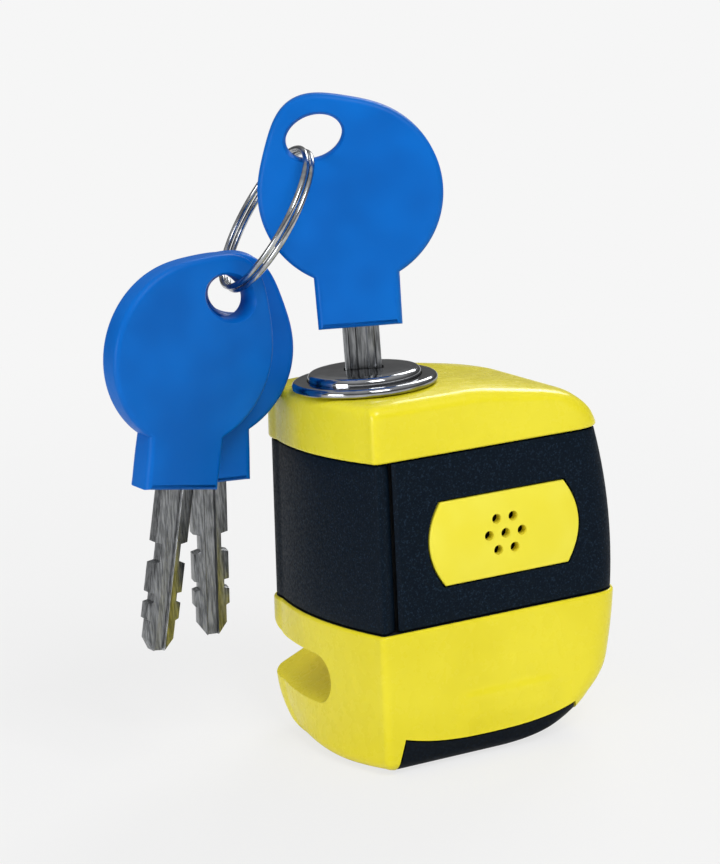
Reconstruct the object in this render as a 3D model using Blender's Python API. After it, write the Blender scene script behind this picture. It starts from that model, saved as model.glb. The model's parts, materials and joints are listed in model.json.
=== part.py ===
"""Disc brake lock with a siren: a cast body that grips a brake disc, a cylinder lock that drives a sliding
pin, the alarm behind a moulded waist cover, and three keys on a split ring.

Metres, +Z up. The origin is the centre of the resting face. X runs along the wide front face, and Y runs
towards the back, where the disc slot is open."""

import math

import bmesh
import bpy
import numpy as np
from mathutils import Matrix, Vector

MM = 0.001
GAP = 0.3 * MM  # between pieces that touch

# Outside of the casting
BODY_TOP = 72.4 * MM
BAND_LOW = 27.6 * MM  # the waist cover fills the band between these heights
BAND_HIGH = 61.2 * MM
FRONT_Y = -22.5 * MM
BACK_Y = 26.1 * MM  # at the base, before the draft
BACK_DRAFT = 0.075
FRONT_LEFT_X = -25.4 * MM
FRONT_LEFT_DRAFT = 0.034
BACK_LEFT_X = -30.6 * MM
BACK_LEFT_DRAFT = 0.022
RIGHT_X = 30.0 * MM  # at the widest height of the right end
RIGHT_WIDEST_Z = 39.0 * MM
RIGHT_BELLY = 2.5 * MM  # how far the right end falls back at the top of the band
LEFT_BULGE = 2.4 * MM
CORNER_FRONT_LEFT = 1.6 * MM
CORNER_FRONT_RIGHT = 7.0 * MM
CORNER_BACK = 8.0 * MM
TOP_SLOPE = math.radians(9.5)  # the top falls towards the right from beside the escutcheon
TOP_SLOPE_X = 0.6 * MM

# Waist cover
COVER_INSET = 0.6 * MM  # how far the cover lies below the painted casting
COVER_WALL = 2.2 * MM
SEAM_FROM_CORNER = 2.0 * MM

# Disc slot
SLOT_CEILING = 20.4 * MM
SLOT_FLOOR = 14.0 * MM
SLOT_END_Y = -6.5 * MM
SLOT_FLARE = 3.8 * MM  # how far the floor drops at the left mouth
SLOT_FLARE_X = -21.0 * MM
SLOT_SILL = ((-2.4, 0.0), (-0.9, 0.5), (0.1, 1.6), (5.0, 2.4))  # rounded edge of the lower jaw: y from BACK_Y, drop
SLOT_LINTEL = ((-12.5, 0.0), (-8.1, 0.9), (-4.1, 2.9), (-2.4, 4.6), (5.0, 6.5))  # the same for the roof: rise

# Cylinder lock
LOCK_AXIS = Vector((-14.5 * MM, -1.6 * MM, 0.0))
ESCUTCHEON_RADIUS = 14.4 * MM
ESCUTCHEON_HEIGHT = 1.6 * MM
CAP_RADIUS = 11.2 * MM
CAP_TOP = 76.0 * MM
HOUSING_RADIUS = 10.0 * MM
HOUSING_BOTTOM = 48.0 * MM
PLUG_RADIUS = 7.2 * MM
PLUG_WALL = 0.9 * MM
PLUG_FLOOR = 52.0 * MM
DISC_COUNT = 6
DISC_PITCH = 2.9 * MM
DISC_HEIGHT = 2.2 * MM
RUN = 0.15 * MM  # radial clearance of turning and sliding pieces
KEY_TURN = math.radians(60.0)

# Locking pin and its drive
PIN_AXIS = Vector((-18.5 * MM, 7.5 * MM, 0.0))
PIN_RADIUS = 3.5 * MM
PIN_TIP = SLOT_CEILING + GAP
PIN_LENGTH = 17.0 * MM
PIN_STROKE = 9.6 * MM
PIN_SOCKET_BOTTOM = 8.0 * MM
BUSH_WALL = 1.0 * MM
BUSH_HEIGHT = 5.9 * MM
CARRIER_RADIUS = 3.9 * MM
CARRIER_HEIGHT = 7.0 * MM
PEG_RADIUS = 1.5 * MM
DRUM_RADIUS = 5.7 * MM
DRUM_BOTTOM = 27.0 * MM
TANG = (8.0 * MM, 2.6 * MM, 2.6 * MM)
DETENT_RADIUS = 1.5 * MM

# Alarm
BAY_LOW = Vector((-2.8 * MM, -30.0 * MM, 31.0 * MM))
BAY_HIGH = Vector((24.0 * MM, -4.0 * MM, 58.0 * MM))
SIREN_X = 9.0 * MM
SIREN_Z = 44.5 * MM
SIREN_RADIUS = 11.0 * MM
BOARD_Y = -11.0 * MM
BOARD_THICKNESS = 1.2 * MM
BADGE_CENTRE = (3.7 * MM, 43.5 * MM)
BADGE_HALF = (13.5 * MM, 8.3 * MM)
BADGE_BOW = 2.9 * MM
BADGE_THICKNESS = 2.0 * MM
SOUND_HOLE = 1.0 * MM

# Battery bay and its door
DOOR_TOP = 4.2 * MM
DOOR_LIP = 1.9 * MM  # extra height of the door's two ends
DOOR_LIP_RUN = 3.6 * MM
DOOR_LEFT = -20.6 * MM
DOOR_RIGHT = 16.5 * MM
DOOR_BACK = -2.0 * MM
CELL_RADIUS = 5.8 * MM
CELL_HEIGHT = 3.1 * MM
CELL_X = (-8.2 * MM, 4.0 * MM)
CELL_Y = -13.0 * MM
CELL_BASE = 6.6 * MM

# Keys
KEY_YAW = math.radians(-24.0)
BOW_RADIUS = 17.9 * MM
BOW_HEIGHT = 26.0 * MM  # bow centre above the collar's lower edge
BOW_THICKNESS = 5.4 * MM
EAR_RISE = 3.2 * MM
EAR_ANGLE = math.radians(119.0)
EAR_SPREAD = math.radians(24.0)
EYE = (-6.2 * MM, 37.3 * MM)
EYE_HALF = (5.6 * MM, 4.1 * MM)
EYE_TILT = math.radians(18.0)
COLLAR_HALF = 8.2 * MM
COLLAR_HEIGHT = 12.0 * MM
COLLAR_THICKNESS = 6.6 * MM
BLADE_WIDTH = 7.2 * MM
BLADE_THICKNESS = 2.6 * MM
BLADE_LENGTH = 32.0 * MM
BLADE_TANG = 11.0 * MM
GROOVE_WIDTH = 2.4 * MM
GROOVE_DEPTH = 0.7 * MM
KEY_SEAT = 84.5 * MM  # height of the inserted key's collar
RING_RADIUS = 15.0 * MM
RING_WIRE = 0.58 * MM
RING_PITCH = 1.32 * MM

PAINT = ("painted_zinc", (0.93, 0.84, 0.05), 0.28, 0.0)
COVER = ("moulded_cover", (0.010, 0.018, 0.032), 0.55, 0.0)
BADGE = ("badge_plastic", (0.95, 0.86, 0.07), 0.35, 0.0)
CHROME = ("chrome", (0.62, 0.62, 0.62), 0.12, 1.0)
STEEL = ("steel", (0.55, 0.55, 0.54), 0.3, 1.0)
BRASS = ("brass", (0.76, 0.60, 0.28), 0.3, 1.0)
KEY_PLASTIC = ("key_plastic", (0.0, 0.125, 0.60), 0.4, 0.0)
BOARD = ("board", (0.02, 0.16, 0.06), 0.5, 0.0)
RUBBER = ("seal_rubber", (0.02, 0.02, 0.02), 0.8, 0.0)
DARK = ("dark_plastic", (0.03, 0.03, 0.035), 0.5, 0.0)


def clear_scene():
    for obj in list(bpy.data.objects):
        bpy.data.objects.remove(obj, do_unlink=True)


def finish_of(finish):
    """The Principled material of a finish, made once."""
    name, colour, roughness, metallic = finish
    if name in bpy.data.materials:
        return bpy.data.materials[name]
    made = bpy.data.materials.new(name)
    made.use_nodes = True
    shader = made.node_tree.nodes["Principled BSDF"]
    shader.inputs["Base Color"].default_value = (*colour, 1.0)
    shader.inputs["Roughness"].default_value = roughness
    shader.inputs["Metallic"].default_value = metallic
    return made


def mesh_object(name, points, faces, finish=None):
    """A closed mesh as a named object, its faces turned outwards; with no finish it is a cutter."""
    mesh = bpy.data.meshes.new(name)
    mesh.from_pydata([tuple(p) for p in points], [], faces)
    shape = bmesh.new()
    shape.from_mesh(mesh)
    bmesh.ops.remove_doubles(shape, verts=shape.verts, dist=1e-7)
    bmesh.ops.recalc_face_normals(shape, faces=shape.faces)
    shape.to_mesh(mesh)
    shape.free()
    return placed(name, mesh, finish)


def placed(name, data, finish=None):
    """Links mesh or curve data as an object; a cutter is hidden."""
    obj = bpy.data.objects.new(name, data)
    bpy.context.scene.collection.objects.link(obj)
    if finish:
        data.materials.append(finish_of(finish))
        if obj.type == "MESH":
            data.shade_smooth()
            data.set_sharp_from_angle(angle=math.radians(35.0))
    else:
        obj.hide_render = True
        obj.display_type = "WIRE"
    return obj


def loft(name, rings, finish=None):
    """A skin over rings with the same number of points, closed by a cap at each end."""
    count = len(rings[0])
    points = [p for ring in rings for p in ring]
    faces = []
    for level in range(len(rings) - 1):
        for i in range(count):
            j = (i + 1) % count
            low = level * count
            faces.append((low + i, low + j, low + count + j, low + count + i))
    faces.append(tuple(reversed(range(count))))
    faces.append(tuple(range((len(rings) - 1) * count, len(rings) * count)))
    return mesh_object(name, points, faces, finish)


def prism(name, outline, axis, low, high, finish=None):
    """A flat outline carried along X, Y or Z; the outline's pair are the two other axes in order."""
    def at(pair, depth):
        values = list(pair)
        values.insert("XYZ".index(axis), depth)
        return values
    return loft(name, [[at(p, low) for p in outline], [at(p, high) for p in outline]], finish)


def box(name, low, high, finish=None):
    outline = [(low[0], low[1]), (high[0], low[1]), (high[0], high[1]), (low[0], high[1])]
    return prism(name, outline, "Z", low[2], high[2], finish)


def circle(radius, segments=24, centre=(0.0, 0.0)):
    angles = [2.0 * math.pi * i / segments for i in range(segments)]
    return [(centre[0] + radius * math.cos(a), centre[1] + radius * math.sin(a)) for a in angles]


def rod(name, radius, low, high, finish=None, centre=(0.0, 0.0), axis="Z", segments=24):
    return prism(name, circle(radius, segments, centre), axis, low, high, finish)


def turned(name, profile, finish=None, segments=32):
    """A closed outline of (radius, height) pairs turned about Z; pairs at radius 0 close the ends."""
    points = []
    starts = []
    for radius, height in profile:
        starts.append(len(points))
        steps = segments if radius > 0.0 else 1
        for i in range(steps):
            angle = 2.0 * math.pi * i / segments
            points.append((radius * math.cos(angle), radius * math.sin(angle), height))
    faces = []
    for k, (radius, _) in enumerate(profile):
        following = (k + 1) % len(profile)
        next_radius = profile[following][0]
        if radius == 0.0 and next_radius == 0.0:
            continue
        for i in range(segments):
            j = (i + 1) % segments
            here = [starts[k] + (i if radius else 0), starts[k] + (j if radius else 0)]
            there = [starts[following] + (j if next_radius else 0), starts[following] + (i if next_radius else 0)]
            face = []
            for index in here + there:
                if index not in face:
                    face.append(index)
            faces.append(tuple(face))
    return mesh_object(name, points, faces, finish)


def combine(target, tool, operation):
    step = target.modifiers.new(tool.name, "BOOLEAN")
    step.operation = operation
    step.solver = "EXACT"
    step.object = tool
    return target


def cut(target, *tools):
    for tool in tools:
        combine(target, tool, "DIFFERENCE")
    return target


def move(obj, place, turn=(0.0, 0.0, 0.0)):
    obj.location = place
    obj.rotation_euler = turn
    return obj


def hang(obj, frame):
    """Parents a piece, or its cutter, to the empty that carries its moving body."""
    obj.parent = frame
    return obj


def empty(name, matrix):
    frame = bpy.data.objects.new(name, None)
    bpy.context.scene.collection.objects.link(frame)
    frame.matrix_world = matrix
    return frame


def wire(name, points, radius, finish):
    """A round wire through the points, with closed ends."""
    curve = bpy.data.curves.new(name, "CURVE")
    curve.dimensions = "3D"
    curve.bevel_depth = radius
    curve.bevel_resolution = 1
    curve.use_fill_caps = True
    spline = curve.splines.new("POLY")
    spline.points.add(len(points) - 1)
    for point, place in zip(spline.points, points):
        point.co = (*place, 1.0)
    return placed(name, curve, finish)


# ---- outside of the casting -------------------------------------------------------------------

def rounded(inset_run, rise, distance):
    """How far an elliptical edge rounding has drawn in, `distance` short of its end."""
    if distance >= rise:
        return 0.0
    part = (rise - distance) / rise
    return inset_run * (1.0 - math.sqrt(max(0.0, 1.0 - part * part)))


BASE_EDGES = {"left": (3.0, 3.0), "right": (23.0, 14.0), "front": (3.2, 2.4), "back": (19.0, 12.5)}
TOP_EDGES = {"left": (1.6, 1.6), "right": (6.0, 8.0), "front": (2.6, 2.6), "back": (3.0, 3.0)}


def side_insets(z):
    insets = {}
    for side in BASE_EDGES:
        run, rise = BASE_EDGES[side]
        base = rounded(run * MM, rise * MM, z)
        run, rise = TOP_EDGES[side]
        insets[side] = base + rounded(run * MM, rise * MM, BODY_TOP - z)
    return insets


def body_corners(z, inset):
    drawn = side_insets(z)
    belly = RIGHT_BELLY * ((z - RIGHT_WIDEST_Z) / (BAND_HIGH - RIGHT_WIDEST_Z)) ** 2
    right = RIGHT_X - min(belly, 2.0 * RIGHT_BELLY) - drawn["right"] - inset
    front = FRONT_Y + drawn["front"] + inset
    back = BACK_Y - BACK_DRAFT * z - drawn["back"] - inset
    front_left = FRONT_LEFT_X + FRONT_LEFT_DRAFT * z + drawn["left"] + inset
    back_left = BACK_LEFT_X + BACK_LEFT_DRAFT * z + drawn["left"] + inset
    return [Vector(p) for p in ((front_left, front), (right, front), (right, back), (back_left, back))]


def corner_curve(before, corner, after, radius, steps):
    """A smooth corner that leaves each side `radius` from the corner point."""
    start = corner + (before - corner).normalized() * radius
    end = corner + (after - corner).normalized() * radius
    parts = [i / steps for i in range(steps + 1)]
    return [start * (1 - s) ** 2 + corner * 2 * s * (1 - s) + end * s * s for s in parts]


def body_outline(z, inset=0.0):
    """The plan of the outside at a height, counted from the front-left corner round the front, with a
    pair of points at each of the four cover seams; also gives the index of each seam's first point."""
    front_left, front_right, back_right, back_left = body_corners(z, inset)
    def radius(full):
        return max(full - inset, 0.4 * MM)
    front_left_curve = corner_curve(back_left, front_left, front_right, radius(CORNER_FRONT_LEFT), 3)
    front_right_curve = corner_curve(front_left, front_right, back_right, radius(CORNER_FRONT_RIGHT), 5)
    back_right_curve = corner_curve(front_right, back_right, back_left, radius(CORNER_BACK), 5)
    back_left_curve = corner_curve(back_right, back_left, front_left, radius(CORNER_BACK), 5)
    half = 0.5 * GAP
    seam_x = front_left.x + SEAM_FROM_CORNER
    middle_y = 0.5 * (front_right.y + back_right.y)
    outline = front_left_curve[:]
    seams = {"front_left": len(outline)}
    outline += [Vector((seam_x - half, front_left.y)), Vector((seam_x + half, front_left.y))]
    outline += front_right_curve
    seams["right_front"] = len(outline)
    outline += [Vector((front_right.x, middle_y - half)), Vector((front_right.x, middle_y + half))]
    outline += back_right_curve
    seams["back_left"] = len(outline)
    seam_x = back_left_curve[0].x + SEAM_FROM_CORNER
    outline += [Vector((seam_x + half, back_left.y)), Vector((seam_x - half, back_left.y))]
    outline += back_left_curve
    start = back_left_curve[-1]
    end = front_left_curve[0]
    steps = 9
    for i in range(1, steps):
        part = i / steps
        bulge = LEFT_BULGE * 4.0 * part * (1.0 - part)
        point = start.lerp(end, part)
        outline.append(Vector((point.x - bulge, point.y)))
    return outline, seams


def body_rings(heights, inset=0.0):
    return [[(*p, z) for p in body_outline(z, inset)[0]] for z in heights]


BODY_HEIGHTS = [h * MM for h in (0.0, 0.6, 1.6, 3.0, 5.0, 8.0, 12.5, 20.0, 27.6, 39.0, 50.0, 61.2, 66.0, 69.4)]
BODY_HEIGHTS += [BODY_TOP - 1.6 * MM, BODY_TOP - 0.5 * MM, BODY_TOP]


def slot_section(x):
    """The slot's outline at one place along X: a rounded end, a flat floor and roof, and a lead-in."""
    edge = SLOT_FLARE_X - x
    far_edge = x - (RIGHT_X - 9.0 * MM)
    drop = SLOT_FLARE * max(0.0, edge, far_edge) / (9.0 * MM)
    floor = SLOT_FLOOR - drop
    roof = SLOT_CEILING
    radius = 0.5 * (roof - floor)
    middle = floor + radius
    steps = 6
    angles = [math.radians(90.0 + 180.0 * i / steps) for i in range(steps + 1)]
    end = [(SLOT_END_Y + radius * (1.0 + math.cos(a)), middle + radius * math.sin(a)) for a in angles]
    sill = [(BACK_Y + y * MM, floor - z * MM) for y, z in SLOT_SILL]
    lintel = [(BACK_Y + y * MM, roof + z * MM) for y, z in SLOT_LINTEL]
    return [(x, y, z) for y, z in end + sill + lintel[::-1]]


def slot_cutter():
    places = (SLOT_FLARE_X - 12.0 * MM, SLOT_FLARE_X, RIGHT_X - 9.0 * MM, RIGHT_X + 3.0 * MM)
    return loft("slot_cutter", [slot_section(x) for x in places])


def door_outline(grow):
    """The door's region seen from the front: its upper edge is highest at both ends."""
    low = -2.0 * MM
    slant = 3.0 * MM
    top = DOOR_TOP + grow
    return [
        (DOOR_LEFT - slant - grow, low),
        (DOOR_RIGHT + slant + grow, low),
        (DOOR_RIGHT + grow, top + DOOR_LIP),
        (DOOR_RIGHT - DOOR_LIP_RUN, top),
        (DOOR_LEFT + DOOR_LIP_RUN, top),
        (DOOR_LEFT - grow, top + DOOR_LIP),
    ]


def pill(centre, half, bow, steps=6):
    """A badge outline: straight upper and lower edges with bowed ends."""
    outline = []
    for side in (1.0, -1.0):
        for i in range(steps + 1):
            part = -1.0 + 2.0 * i / steps
            across = half[0] + bow * (1.0 - part * part)
            outline.append((centre[0] + side * across, centre[1] + side * part * half[1]))
    return outline


def build_casting():
    casting = loft("lock_body", body_rings(BODY_HEIGHTS), PAINT)
    wedge_length = 60.0 * MM
    slope = [
        (TOP_SLOPE_X, BODY_TOP),
        (TOP_SLOPE_X + wedge_length, BODY_TOP - wedge_length * math.tan(TOP_SLOPE)),
        (TOP_SLOPE_X + wedge_length, BODY_TOP + wedge_length),
        (TOP_SLOPE_X, BODY_TOP + wedge_length),
    ]
    tools = [prism("slope_cutter", slope, "Y", -0.05, 0.05)]
    slab = box("waist_slab", (-0.05, -0.05, BAND_LOW), (0.05, 0.05, BAND_HIGH))
    core_heights = [BAND_LOW - 2 * MM, 0.5 * (BAND_LOW + BAND_HIGH), BAND_HIGH + 2 * MM]
    core = loft("waist_core", body_rings(core_heights, COVER_INSET + COVER_WALL + GAP))
    tools.append(cut(slab, core))
    tools.append(slot_cutter())
    tools.append(prism("door_cutter", door_outline(GAP), "Y", FRONT_Y - 5 * MM, DOOR_BACK + GAP))
    tools += lock_bores() + alarm_bores() + fixing_bores()
    return cut(casting, *tools)


def lock_bores():
    """The cylinder's bore, the drum's chamber, the pin's guide and its socket in the lower jaw."""
    x, y = LOCK_AXIS.x, LOCK_AXIS.y
    chamber = DRUM_RADIUS + GAP
    barrel = turned("cylinder_bore", [
        (0.0, DRUM_BOTTOM - GAP), (chamber, DRUM_BOTTOM - GAP), (chamber, HOUSING_BOTTOM - GAP),
        (HOUSING_RADIUS + GAP, HOUSING_BOTTOM - GAP), (HOUSING_RADIUS + GAP, BODY_TOP + 9 * MM),
        (0.0, BODY_TOP + 9 * MM)])
    move(barrel, (x, y, 0.0))
    bush = PIN_RADIUS + RUN + BUSH_WALL + GAP
    guide_top = PIN_TIP + PIN_LENGTH + CARRIER_HEIGHT + 2 * GAP
    guide = turned("pin_guide", [
        (0.0, SLOT_CEILING - 2 * MM), (bush, SLOT_CEILING - 2 * MM), (bush, DRUM_BOTTOM - GAP),
        (CARRIER_RADIUS + GAP, DRUM_BOTTOM - GAP), (CARRIER_RADIUS + GAP, guide_top), (0.0, guide_top)])
    move(guide, (PIN_AXIS.x, PIN_AXIS.y, 0.0))
    countersink = 1.6 * MM
    hole = PIN_RADIUS + 2 * GAP
    socket = turned("pin_socket", [
        (0.0, PIN_SOCKET_BOTTOM), (hole, PIN_SOCKET_BOTTOM), (hole, SLOT_FLOOR - countersink),
        (hole + countersink, SLOT_FLOOR), (hole + countersink, SLOT_FLOOR + 2 * MM),
        (0.0, SLOT_FLOOR + 2 * MM)])
    move(socket, (PIN_AXIS.x, PIN_AXIS.y, 0.0))
    span = PIN_AXIS - LOCK_AXIS
    half = PEG_RADIUS + GAP
    window = box("peg_window", (0.0, -half, DRUM_BOTTOM + GAP), (span.length, half, guide_top - 2 * MM))
    move(window, (x, y, 0.0), (0.0, 0.0, math.atan2(span.y, span.x)))
    return [barrel, guide, socket, window]


def alarm_bores():
    """The siren's bay behind the front cover, the battery bay above the door, and the wire passage."""
    bay = box("alarm_bay", BAY_LOW, BAY_HIGH)
    reach = CELL_RADIUS + GAP
    low = (CELL_X[0] - reach, CELL_Y - reach, 0.0)
    high = (CELL_X[1] + reach, CELL_Y + reach, CELL_BASE + 2 * CELL_HEIGHT + 4 * GAP)
    cells = box("battery_bay", low, high)
    groove = seal_frame("seal_groove", GAP)
    passage = rod("wire_passage", 1.5 * MM, CELL_BASE + CELL_HEIGHT, BAY_LOW.z + MM, centre=(CELL_X[1], CELL_Y))
    return [bay, cells, groove, passage]


def seal_frame(name, grow, finish=None):
    """The flat seal round the battery bay, or the groove that it lies in."""
    reach = CELL_RADIUS + 2 * GAP - grow
    width = 1.5 * MM + 2 * grow
    inner = (CELL_X[0] - reach, CELL_Y - reach, 0.0, CELL_X[1] + reach, CELL_Y + reach)
    low = DOOR_TOP + GAP - (MM if finish is None else 0.0)
    high = DOOR_TOP + GAP + 0.8 * MM + grow
    frame = box(name, (inner[0] - width, inner[1] - width, low), (inner[3] + width, inner[4] + width, high), finish)
    hole = box(name + "_hole", (inner[0], inner[1], -MM), (inner[3], inner[4], high + MM))
    return cut(frame, hole)


DOOR_SCREWS = {"door_screw_1": (-18.0 * MM, -11.5 * MM), "door_screw_2": (14.2 * MM, -11.5 * MM)}
REAR_SCREWS = {
    "rear_screw_1": (-16.0 * MM, 33.0 * MM), "rear_screw_2": (21.0 * MM, 33.0 * MM),
    "rear_screw_3": (-16.0 * MM, 57.5 * MM), "rear_screw_4": (21.0 * MM, 57.5 * MM)}
SCREW_RADIUS = 1.1 * MM
HEAD_RADIUS = 2.1 * MM
SCREW_LENGTH = 9.0 * MM
HOUSING_SCREW_Z = 51.5 * MM


def screw_profile(grow=0.0):
    """A countersunk screw, head at 0 and point at -length; grown, it is the hole that it fits."""
    shank = SCREW_RADIUS + grow
    head = HEAD_RADIUS + grow
    if grow:
        return [(0.0, -SCREW_LENGTH - 2 * grow), (shank, -SCREW_LENGTH - 2 * grow), (shank, -1.2 * MM - grow),
                (head, -0.2 * MM), (head, 4 * MM), (0.0, 4 * MM)]
    return [(0.0, -SCREW_LENGTH), (0.7 * SCREW_RADIUS, -SCREW_LENGTH), (shank, -SCREW_LENGTH + MM),
            (shank, -1.2 * MM), (head, -0.3 * MM), (head, 0.0), (0.5 * head, 0.0), (0.5 * head, -0.8 * MM),
            (0.0, -0.8 * MM)]


def door_bottom(x):
    """Height of the base's underside at x, where it has started to curve up at the right."""
    heights = [h for h in BODY_HEIGHTS if body_corners(h, 0.0)[1].x <= x]
    if not heights:
        return 0.0
    low = heights[-1]
    high = BODY_HEIGHTS[len(heights)]
    low_x, high_x = body_corners(low, 0.0)[1].x, body_corners(high, 0.0)[1].x
    return low + (high - low) * (x - low_x) / (high_x - low_x)


def rear_face(z):
    return body_corners(z, COVER_INSET)[2].y


def fixing_holes(prefix, names):
    """A hole for each named screw, in its own place and direction."""
    holes = []
    for name in names:
        hole = turned(prefix + name, screw_profile(0.5 * GAP), segments=12)
        holes.append(place_screw(hole, name))
    return holes


def place_screw(obj, name):
    if name in DOOR_SCREWS:
        x, y = DOOR_SCREWS[name]
        return move(obj, (x, y, door_bottom(x + HEAD_RADIUS) + GAP), (math.pi, 0.0, 0.0))
    x, z = REAR_SCREWS[name]
    return move(obj, (x, rear_face(z) - 0.4 * MM, z), (-0.5 * math.pi, 0.0, 0.0))


def fixing_bores():
    """Holes of the door, cover, housing and detent screws in the casting."""
    holes = fixing_holes("casting_hole_", list(DOOR_SCREWS) + list(REAR_SCREWS))
    holes.append(rod("housing_screw_hole", 2.0 * MM + 0.5 * GAP, LOCK_AXIS.y, BACK_Y,
                     centre=(LOCK_AXIS.x, HOUSING_SCREW_Z), axis="Y", segments=16))
    holes.append(rod("detent_hole", DETENT_RADIUS + GAP, FRONT_Y, LOCK_AXIS.y,
                     centre=(LOCK_AXIS.x, detent_height()), axis="Y", segments=16))
    return holes


def detent_height():
    return HOUSING_BOTTOM - 2.4 * MM


# ---- waist cover, badges and door ---------------------------------------------------------------

def panel(name, first, last):
    """One panel of the cover: the outline from one seam to the next, carried up the band, with a wall."""
    heights = np.linspace(BAND_LOW + GAP, BAND_HIGH - GAP, 5)
    outer = []
    inner = []
    for z in heights:
        outside, seams = body_outline(z, COVER_INSET)
        inside = body_outline(z, COVER_INSET + COVER_WALL)[0]
        start = seams[first] + 1
        end = seams[last]
        if end < start:
            end += len(outside)
        picked = [i % len(outside) for i in range(start, end + 1)]
        outer.append([(*outside[i], z) for i in picked])
        inner.append([(*inside[i], z) for i in picked])
    rings = [outer[k] + inner[k][::-1] for k in range(len(heights))]
    return loft(name, rings, COVER)


def build_covers():
    front = panel("front_cover", "front_left", "right_front")
    rear = panel("rear_cover", "right_front", "back_left")
    panel("left_cover", "back_left", "front_left")
    grown = (BADGE_HALF[0] + GAP, BADGE_HALF[1] + GAP)
    opening = pill(BADGE_CENTRE, grown, BADGE_BOW)
    cut(front, prism("front_badge_opening", opening, "Y", FRONT_Y - 5 * MM, FRONT_Y + 5 * MM))
    rear_opening = prism("rear_badge_opening", opening, "Y", -4 * MM, 4 * MM)
    badge_y = rear_face(BADGE_CENTRE[1])
    move(rear_opening, (0.0, badge_y, 0.0))
    cut(rear, rear_opening, *fixing_holes("cover_hole_", REAR_SCREWS))
    build_badge("front_badge", FRONT_Y + 0.3 * MM, FRONT_Y + 0.3 * MM + BADGE_THICKNESS)
    build_badge("rear_badge", badge_y - BADGE_THICKNESS + 0.6 * MM, badge_y + 0.6 * MM)


def build_badge(name, low, high):
    badge = prism(name, pill(BADGE_CENTRE, BADGE_HALF, BADGE_BOW), "Y", low, high, BADGE)
    if name == "front_badge":
        cut(badge, *sound_holes(low - MM, high + MM))
    return badge


def sound_holes(low, high):
    """A ring of six sound outlets round one more."""
    places = [BADGE_CENTRE] + circle(3.6 * MM, 6, BADGE_CENTRE)
    return [rod(f"sound_hole_{i}", SOUND_HOLE, low, high, centre=place, axis="Y", segments=12)
            for i, place in enumerate(places)]


def build_door():
    """The battery door: the outer skin of the base inside the door's region, with its seal and screws."""
    heights = [z for z in BODY_HEIGHTS if z < 12 * MM]
    door = loft("battery_door", body_rings(heights, 0.0), COVER)
    region = prism("door_region", door_outline(0.0), "Y", FRONT_Y - 5 * MM, DOOR_BACK)
    combine(door, region, "INTERSECT")
    cut(door, *fixing_holes("door_hole_", DOOR_SCREWS))
    seal_frame("door_seal", 0.0, RUBBER)


def build_screws():
    shared = None
    for name in list(DOOR_SCREWS) + list(REAR_SCREWS):
        if shared is None:
            screw = turned(name, screw_profile(), STEEL, segments=16)
            shared = screw.data
        else:
            screw = placed(name, shared, STEEL)
        place_screw(screw, name)
    length = 8.0 * MM
    start = LOCK_AXIS.y + HOUSING_RADIUS + GAP
    grub = rod("housing_screw", 2.0 * MM, start, start + length, STEEL,
               centre=(LOCK_AXIS.x, HOUSING_SCREW_Z), axis="Y", segments=16)
    cut(grub, rod("grub_socket", 1.0 * MM, start + length - 1.5 * MM, start + length + MM,
                  centre=(LOCK_AXIS.x, HOUSING_SCREW_Z), axis="Y", segments=6))


# ---- cylinder, drum and pin -----------------------------------------------------------------------

def keyway(name, low, high):
    """The slot for the key blade, through the pieces on the lock's axis."""
    half = (0.5 * BLADE_WIDTH + GAP, 0.5 * BLADE_THICKNESS + GAP)
    return box(name, (-half[0], -half[1], low), (half[0], half[1], high))


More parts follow.
